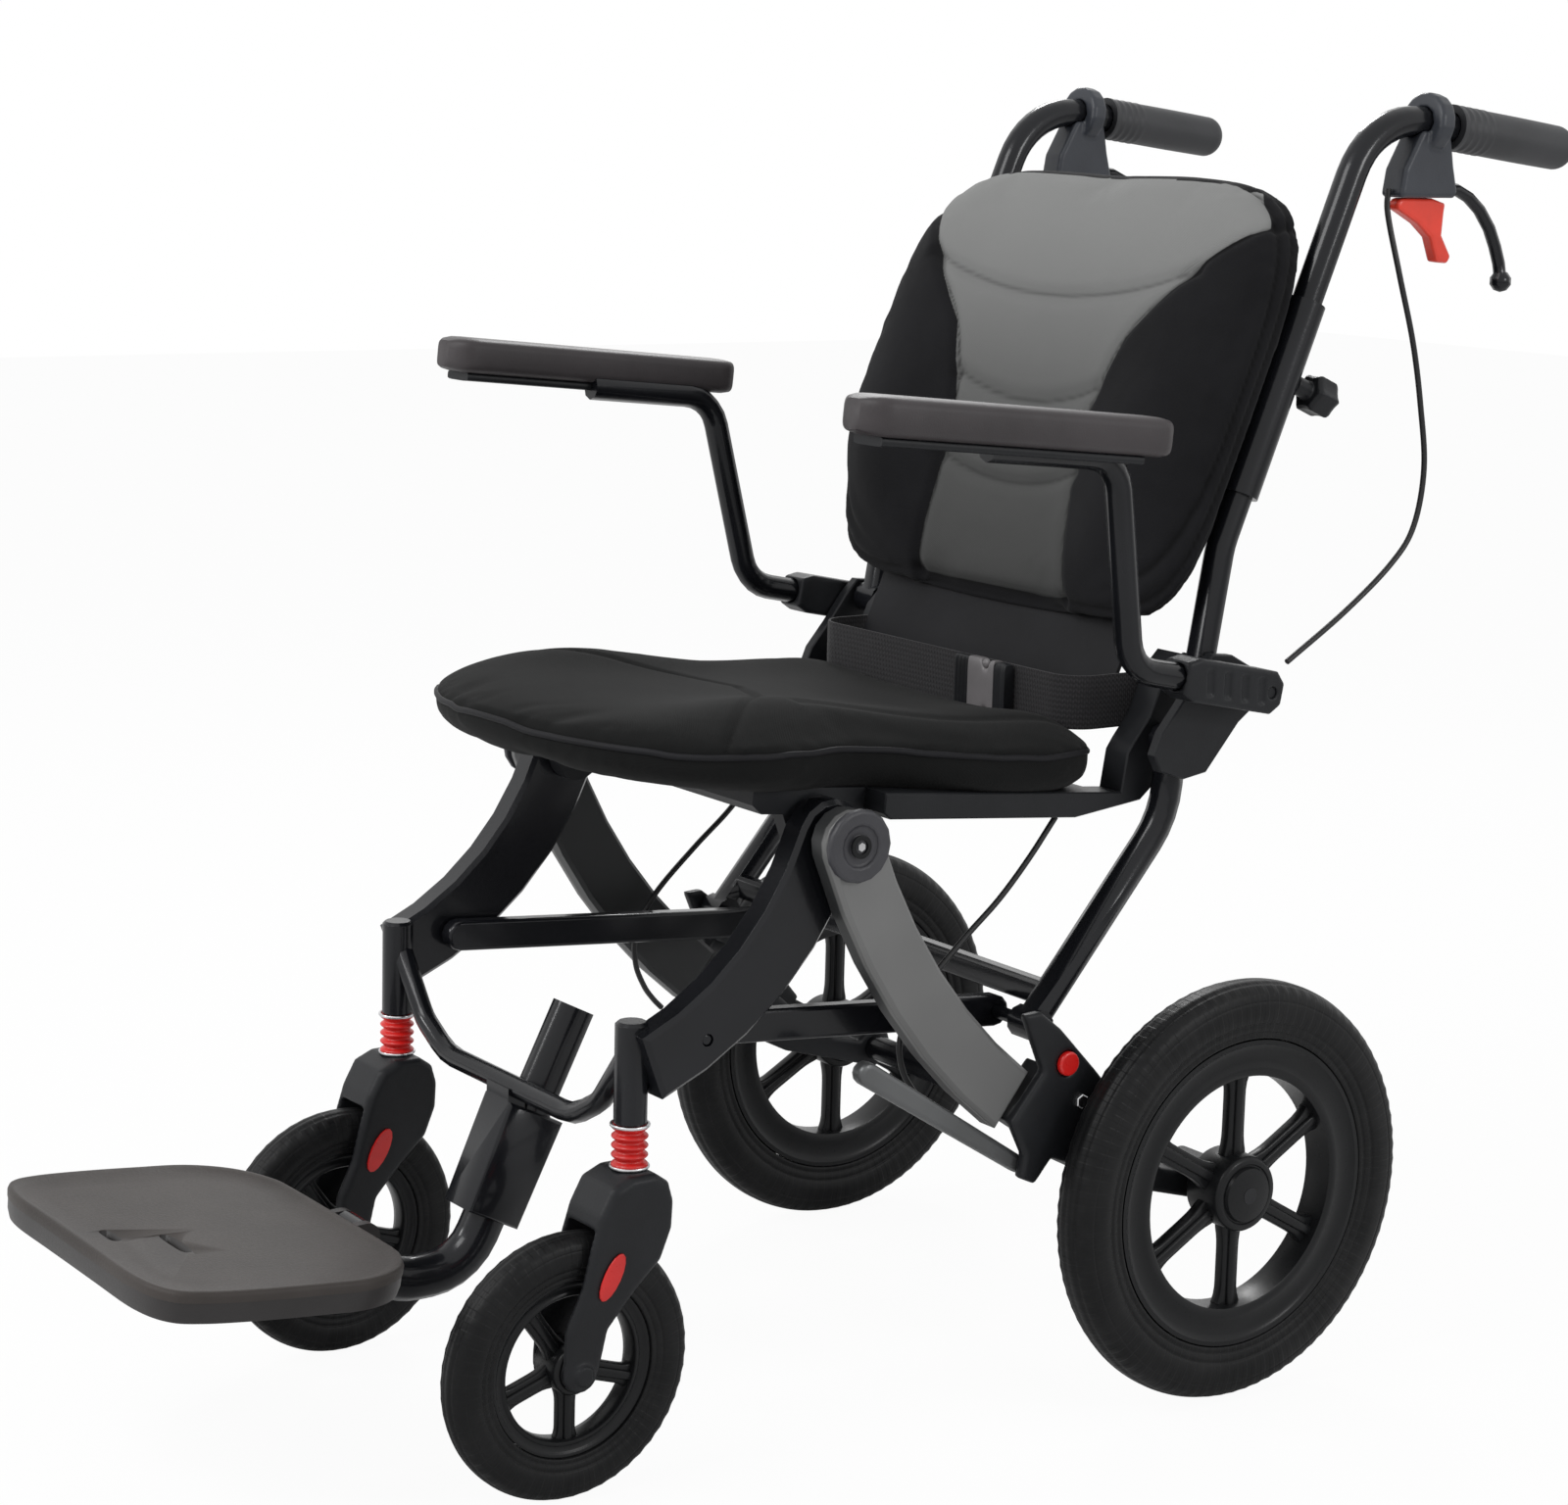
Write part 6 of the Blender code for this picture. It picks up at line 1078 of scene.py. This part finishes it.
rows = [(0.090, -0.0030), (0.030, -0.0030), (0.012, -0.0026), (0.0075, -0.0010), (0.0045, -0.0001),
        (0.0025, 0.0), (0.0008, -0.0010), (0.0, -0.0030), (0.0003, -0.0070), (0.0008, -0.0068),
        (0.0012, -0.0150), (0.0030, -0.0205), (0.0070, -0.0218), (0.060, -0.0218)]
plate = surface("foot_tray", np.stack([plate_row(*row) for row in rows]), plate_plastic,
                "foot_tray", smooth=50)
plate.data.materials.append(skirt_plastic.material)
for run, across, reach in ((0.130, 0.026, 0.020), (0.163, 0.0, 0.012)):
    outline = rounded_box(reach, 0.0045, 3.5, 24)
    walls = [np.stack([across + outline[:, 0], *tray_plane.at(run + outline[:, 1], up)], -1)
             for up in (-0.03, 0.01)]
    cutter = surface("slot_cutter", np.stack(walls), plate_plastic, "foot_tray")
    cut = plate.modifiers.new("slot", "BOOLEAN")
    cut.operation, cut.solver, cut.object = "DIFFERENCE", "EXACT", cutter
    applied(plate, cut)
    bpy.data.objects.remove(cutter)
middles = np.empty(len(plate.data.polygons) * 3)
plate.data.polygons.foreach_get("center", middles)
is_skirt = tray_plane.local(middles.reshape(-1, 3))[2] < SKIRT_TOP
plate.data.polygons.foreach_set("material_index", is_skirt.astype(np.int32))
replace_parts(plate, "footplate")

hinge_y, hinge_z = tray_plane.at(-0.0115, -0.012)
angle = np.linspace(-math.pi / 2, math.pi / 2, 14)
rear = np.stack([hinge_y + 0.010 * np.cos(angle), hinge_z + 0.010 * np.sin(angle)], 1)
outline = np.vstack([rear, tray_plane.at(0.012, -0.005), tray_plane.at(0.012, -0.021)])
lugs = [np.stack([np.column_stack([np.full(len(outline), way * x), outline])
                  for x in (0.0123, 0.0193)]) for way in (-1, 1)]
one_piece("tray_lugs", lugs, skirt_plastic, "foot_tray")
print("footplate:", len(is_skirt), "faces,", int(is_skirt.sum()), "of them on the skirt")

# %% [markdown]
# ## Armrests and grips
# The armrest pad is a moulded foam skin: a thick rounded bar, wider at its front, on a thin rail.
# The push grip is a soft sleeve with a flange, ribs at the clamp end and a rounded tip.


# %% Armrest pads
ARM_X = 0.255
PAD_LENGTH, PAD_UP, RAIL_UP = 0.252, -0.0130, -0.0285


def bar(side, far, up, wide, tall, power, steps):
    """Grid of a superellipse section carried along the armrest's plane, with its own half sizes."""
    section = rounded_box(1.0, 1.0, power, steps)
    y, z = arm_plane.at(far, up)
    across, lift = wide[:, None] * section[None, :, 0], tall[:, None] * section[None, :, 1]
    return np.stack([side * ARM_X + across, y[:, None] + lift * arm_plane.up[0],
                     z[:, None] + lift * arm_plane.up[1]], -1)


share = np.linspace(0, 1, 40)
ends = (np.sqrt(np.clip(1 - ramp(0.07, share, 0.07) ** 2.2, 0, 1))
        * np.sqrt(np.clip(1 - ramp(share, 0.945, 0.055) ** 2.2, 0, 1)))
wide = 0.0228 * (1 - 0.10 * share) * np.maximum(ends, 0.35)
tall = 0.0130 * np.maximum(ends, 0.55) ** 0.5
for hand, side in SIDES:
    body = f"armrest_{hand}"
    grid = bar(side, PAD_LENGTH * share, PAD_UP, wide, tall, 4.5, 40)
    pad = surface(f"arm_pad_{hand}", grid, pad_skin, body, smooth=55)
    grid = bar(side, np.linspace(0.014, 0.226, 12), RAIL_UP, np.full(12, 0.0150),
               np.full(12, 0.0032), 5.0, 28)
    surface(f"arm_tray_{hand}", grid, bracket_plastic, body)
    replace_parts(pad, f"armrest_pad_{hand}")
print("armrest pads: length", PAD_LENGTH)

# %% Push grips
HANDLE_RISE = np.array([0.0, 0.3843, 0.92321])
HANDLE_REACH = np.array([0.0, 0.99327, -0.1158])
HANDLE_FOOT, HANDLE_TALL = (0.190, 0.29552, 0.76408), 0.142
GRIP_LENGTH, GRIP_BORE, TUBE_END = 0.118, 0.0113, 0.192
RIB_ZONE, RIB_COUNT = 0.034, 5


def handle_corner(side):
    """Where the handle turns from its rise to its reach."""
    return mirrored(side, HANDLE_FOOT) + HANDLE_RISE * HANDLE_TALL


end = TUBE_END + 0.002
start = end - GRIP_LENGTH
run = np.linspace(0, GRIP_LENGTH, 90)
barrel = 0.0158 + 0.0004 * np.sin(run / GRIP_LENGTH * math.pi)
rib_wave = np.maximum(0, np.sin(run / RIB_ZONE * 2 * math.pi * RIB_COUNT))
ribs = np.where(run < RIB_ZONE, 0.0007 * rib_wave, 0.0)
flange = 0.0012 * bell(run, 0.0015, 0.0018)
tip = np.sqrt(np.clip(1 - ramp(run, 0.108, 0.010) ** 2 * 0.55, 0, 1))
outer = np.column_stack([start + run, np.minimum((barrel + ribs + flange) * tip, 0.0165)])
profile = np.vstack([[(start, GRIP_BORE)], outer, [(end, 0.0095), (end + 0.0002, 0.0002)],
                     [(TUBE_END, 0.0002), (TUBE_END, GRIP_BORE)]])
for hand, side in SIDES:
    grip = surface(f"grip_sleeve_{hand}", turned(profile, handle_corner(side), HANDLE_REACH, 40),
                   grip_rubber, f"handle_{hand}", True, 45)
    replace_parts(grip, f"grip_{hand}")
print("grips: length", GRIP_LENGTH)

# %% [markdown]
# ## Cables
# The brake cables are thin black outer cables, so each is a round tube along a smooth curve through
# the points of the CAD's route.

# %% Cables
UPPER_ROUTE = [(0.155, 0.783), (0.172, 0.735), (0.183, 0.690), (0.190, 0.645), (0.183, 0.604),
               (0.163, 0.578), (0.120, 0.546)]
BESIDE_LEG = 0.181 - GAP - CABLE_RADIUS
LOWER_ROUTE = [(0.166, -0.111, 0.4128), (0.166, -0.133, 0.386), (0.166, -0.158, 0.360),
               (0.166, -0.188, 0.335), (0.166, -0.222, 0.303), (0.166, -0.238, 0.275),
               (0.168, -0.237, 0.251), (0.173, -0.226, 0.231), (BESIDE_LEG, -0.214, 0.218),
               (BESIDE_LEG, -0.206, 0.210)]


def cable(name, node, corners, body):
    """A circle carried along the smooth curve through a few corners, in a node's place."""
    path = along(corners, 8)
    grid = swept(path, circle(0.0021, 12), (0.3, 0.9, 0.3))
    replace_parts(surface(name, grid, cable_skin, body), node)
    print(name, "length", round(np.linalg.norm(np.diff(path, axis=0), axis=1).sum(), 3))


for hand, side in SIDES:
    clamp = handle_corner(side) + HANDLE_REACH * 0.0545
    first = clamp + [0.0, -0.0335 - CABLE_RADIUS, -0.046]
    cable(f"upper_cable_{hand}", f"brake_cable_{hand}",
          [first, first + [side * 0.001, 0.0, -0.018],
           *((side * 0.200, y + SHIFT, z) for y, z in UPPER_ROUTE),
           (side * 0.204, 0.062 + SHIFT, 0.514)], f"handle_{hand}")
    cable(f"lower_run_{hand}", f"lower_cable_{hand}",
          [(side * x, y + SHIFT, z) for x, y, z in LOWER_ROUTE], "rear_frame")

# %% [markdown]
# ## Screws, rings and reflectors
# Small turned pieces finish the joints: a bright socket head in each pivot cap, two zinc rings
# round each bushing and a zinc bolt in each rear bracket. The forks carry a reflector on both
# faces, so the outer one is mirrored across its fork.

# %% Small fittings
RING = [(-0.0009, 0.0117), (-0.0009, 0.0129), (-0.0004, 0.0132), (0.0004, 0.0132), (0.0009, 0.0129),
        (0.0009, 0.0117)]
HEAD = [(-0.0010, 0.0078), (0.0004, 0.0078), (0.0009, 0.0071), (0.0009, 0.0047), (0.0001, 0.0044),
        (-0.0010, 0.0044)]
SOCKET = [(-0.0006, 0.0030), (0.0004, 0.0030), (0.0005, 0.0004)]
NUT = [(-0.0006, 0.0052), (0.0022, 0.0052), (0.0028, 0.0045), (0.0028, 0.0004)]
RIB_HEIGHT = np.linspace(-0.0140, 0.0140, 71)
RIBS = np.column_stack([RIB_HEIGHT, 0.0108 + 0.0013 * np.cos(RIB_HEIGHT * 2 * math.pi / 0.0062)])
STEM_Y, BUSHING_Z, RING_LOW, RING_HIGH = -0.2268, 0.2286, 0.2148, 0.2424
CAP_AT, BRACKET_BOLT_AT = (0.2090, -0.0878, 0.4200), (0.2123, 0.1019, 0.2239)


def fitting(name, centre, axis, profile, finish, node, steps=32, loop=False):
    """A turned piece on the body of a CAD node; profile rows are (distance out, radius)."""
    return surface(name, turned(profile, centre, axis, steps), finish, nodes[node]["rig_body"],
                   loop, 35)


for hand, side in SIDES:
    bushing, bolt = f"caster_bushing_{hand}", f"pivot_bolt_{hand}"
    stem, cap, out = (side * CASTER_WHEEL[0], STEM_Y), mirrored(side, CAP_AT), (side, 0.0, 0.0)
    sleeve = fitting(f"bushing_{hand}", (*stem, BUSHING_Z), UPRIGHT, RIBS, red_plastic, bushing,
                     40)
    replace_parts(sleeve, bushing)
    fitting(f"cap_head_{hand}", cap, out, HEAD, rim_plastic, bolt, loop=True)
    fitting(f"cap_socket_{hand}", cap, out, SOCKET, steel, bolt, 6)
    for word, height in (("low", RING_LOW), ("high", RING_HIGH)):
        fitting(f"bushing_ring_{word}_{hand}", (*stem, height), UPRIGHT, RING, steel, bushing,
                48, True)
    fitting(f"bracket_bolt_{hand}", mirrored(side, BRACKET_BOLT_AT), out, NUT, steel,
            f"lock_bracket_{hand}", 6)
    reflector = f"fork_reflector_{hand}"
    mesh = bare_mesh(reflector)
    mesh.transform(Matrix.Translation((2 * side * CASTER_WHEEL[0], 0.0, 0.0))
                   @ Matrix.Diagonal((-1.0, 1.0, 1.0, 1.0)))
    finished(f"inner_reflector_{hand}", mesh, red_plastic, nodes[reflector]["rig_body"],
             40.0, WELD)
print("fittings: 7 on each side")

# %% [markdown]
# ## Light and floor
# The picture has a white ground and soft light from the upper left, with a bright edge along the
# tubes. Four soft lamps give those edges and the pale world fills the rest. Mirror rays see the
# same pale world as the camera does.

# %% World, lamps and floor
world = bpy.data.worlds.new("studio")
bpy.context.scene.world = world
world.use_nodes = True
tree = world.node_tree
rays = tree.nodes.new("ShaderNodeLightPath")
seen = rays.outputs["Is Camera Ray"]
for ray in ("Is Glossy Ray", "Is Transmission Ray"):
    either = tree.nodes.new("ShaderNodeMath")
    either.operation = "MAXIMUM"
    tree.links.new(seen, either.inputs[0])
    tree.links.new(rays.outputs[ray], either.inputs[1])
    seen = either.outputs[0]
strength = tree.nodes.new("ShaderNodeMapRange")
strength.inputs["To Min"].default_value = 0.50
strength.inputs["To Max"].default_value = 1.0
tree.links.new(seen, strength.inputs["Value"])
background = tree.nodes["Background"]
background.inputs["Color"].default_value = (1.0, 1.0, 1.0, 1.0)
tree.links.new(strength.outputs["Result"], background.inputs["Strength"])


def lamp(name, place, aim, size, power):
    """A square soft lamp that looks at a point."""
    light = bpy.data.lights.new(name, "AREA")
    light.shape, light.size, light.energy = "SQUARE", size, power
    holder = shown(name, light)
    holder.location = place
    holder.rotation_euler = (Vector(aim) - Vector(place)).to_track_quat("-Z", "Y").to_euler()


lamp("key", (0.2, -2.2, 2.6), (0.0, 0.0, 0.4), 1.2, 34.0)
lamp("side", (2.4, 1.0, 1.5), (0.0, 0.0, 0.5), 0.55, 13.0)
lamp("rim", (-1.8, 1.4, 2.0), (0.0, 0.0, 0.5), 0.5, 16.0)
lamp("edge", (-0.9, -2.0, 1.4), (0.0, 0.0, 0.4), 0.4, 9.0)

floor_finish = Finish("floor", (0.92, 0.92, 0.92), 0.9, Specular_IOR_Level=0.0)
glow = floor_finish.add("ShaderNodeEmission", None, Strength=1.0)
looked_at = floor_finish.add("ShaderNodeLightPath").outputs["Is Camera Ray"]
lit = Value(floor_finish, looked_at) * 0.95
ground = floor_finish.add("ShaderNodeMixShader", None, lit, floor_finish.shader.outputs[0],
                          glow.outputs[0])
output = [node for node in floor_finish.tree.nodes if node.type == "OUTPUT_MATERIAL"][0]
floor_finish.tree.links.new(ground.outputs[0], output.inputs["Surface"])
far = 9
mesh = bpy.data.meshes.new("floor")
mesh.from_pydata([(-far, -far, 0), (far, -far, 0), (far, far, 0), (-far, far, 0)], [],
                 [(0, 1, 2, 3)])
mesh.materials.append(floor_finish.material)
floor = shown("floor", mesh)
floor.location.z = -0.0006
bpy.context.scene.view_settings.view_transform = "Standard"
print("lamps:", len(bpy.data.lights))
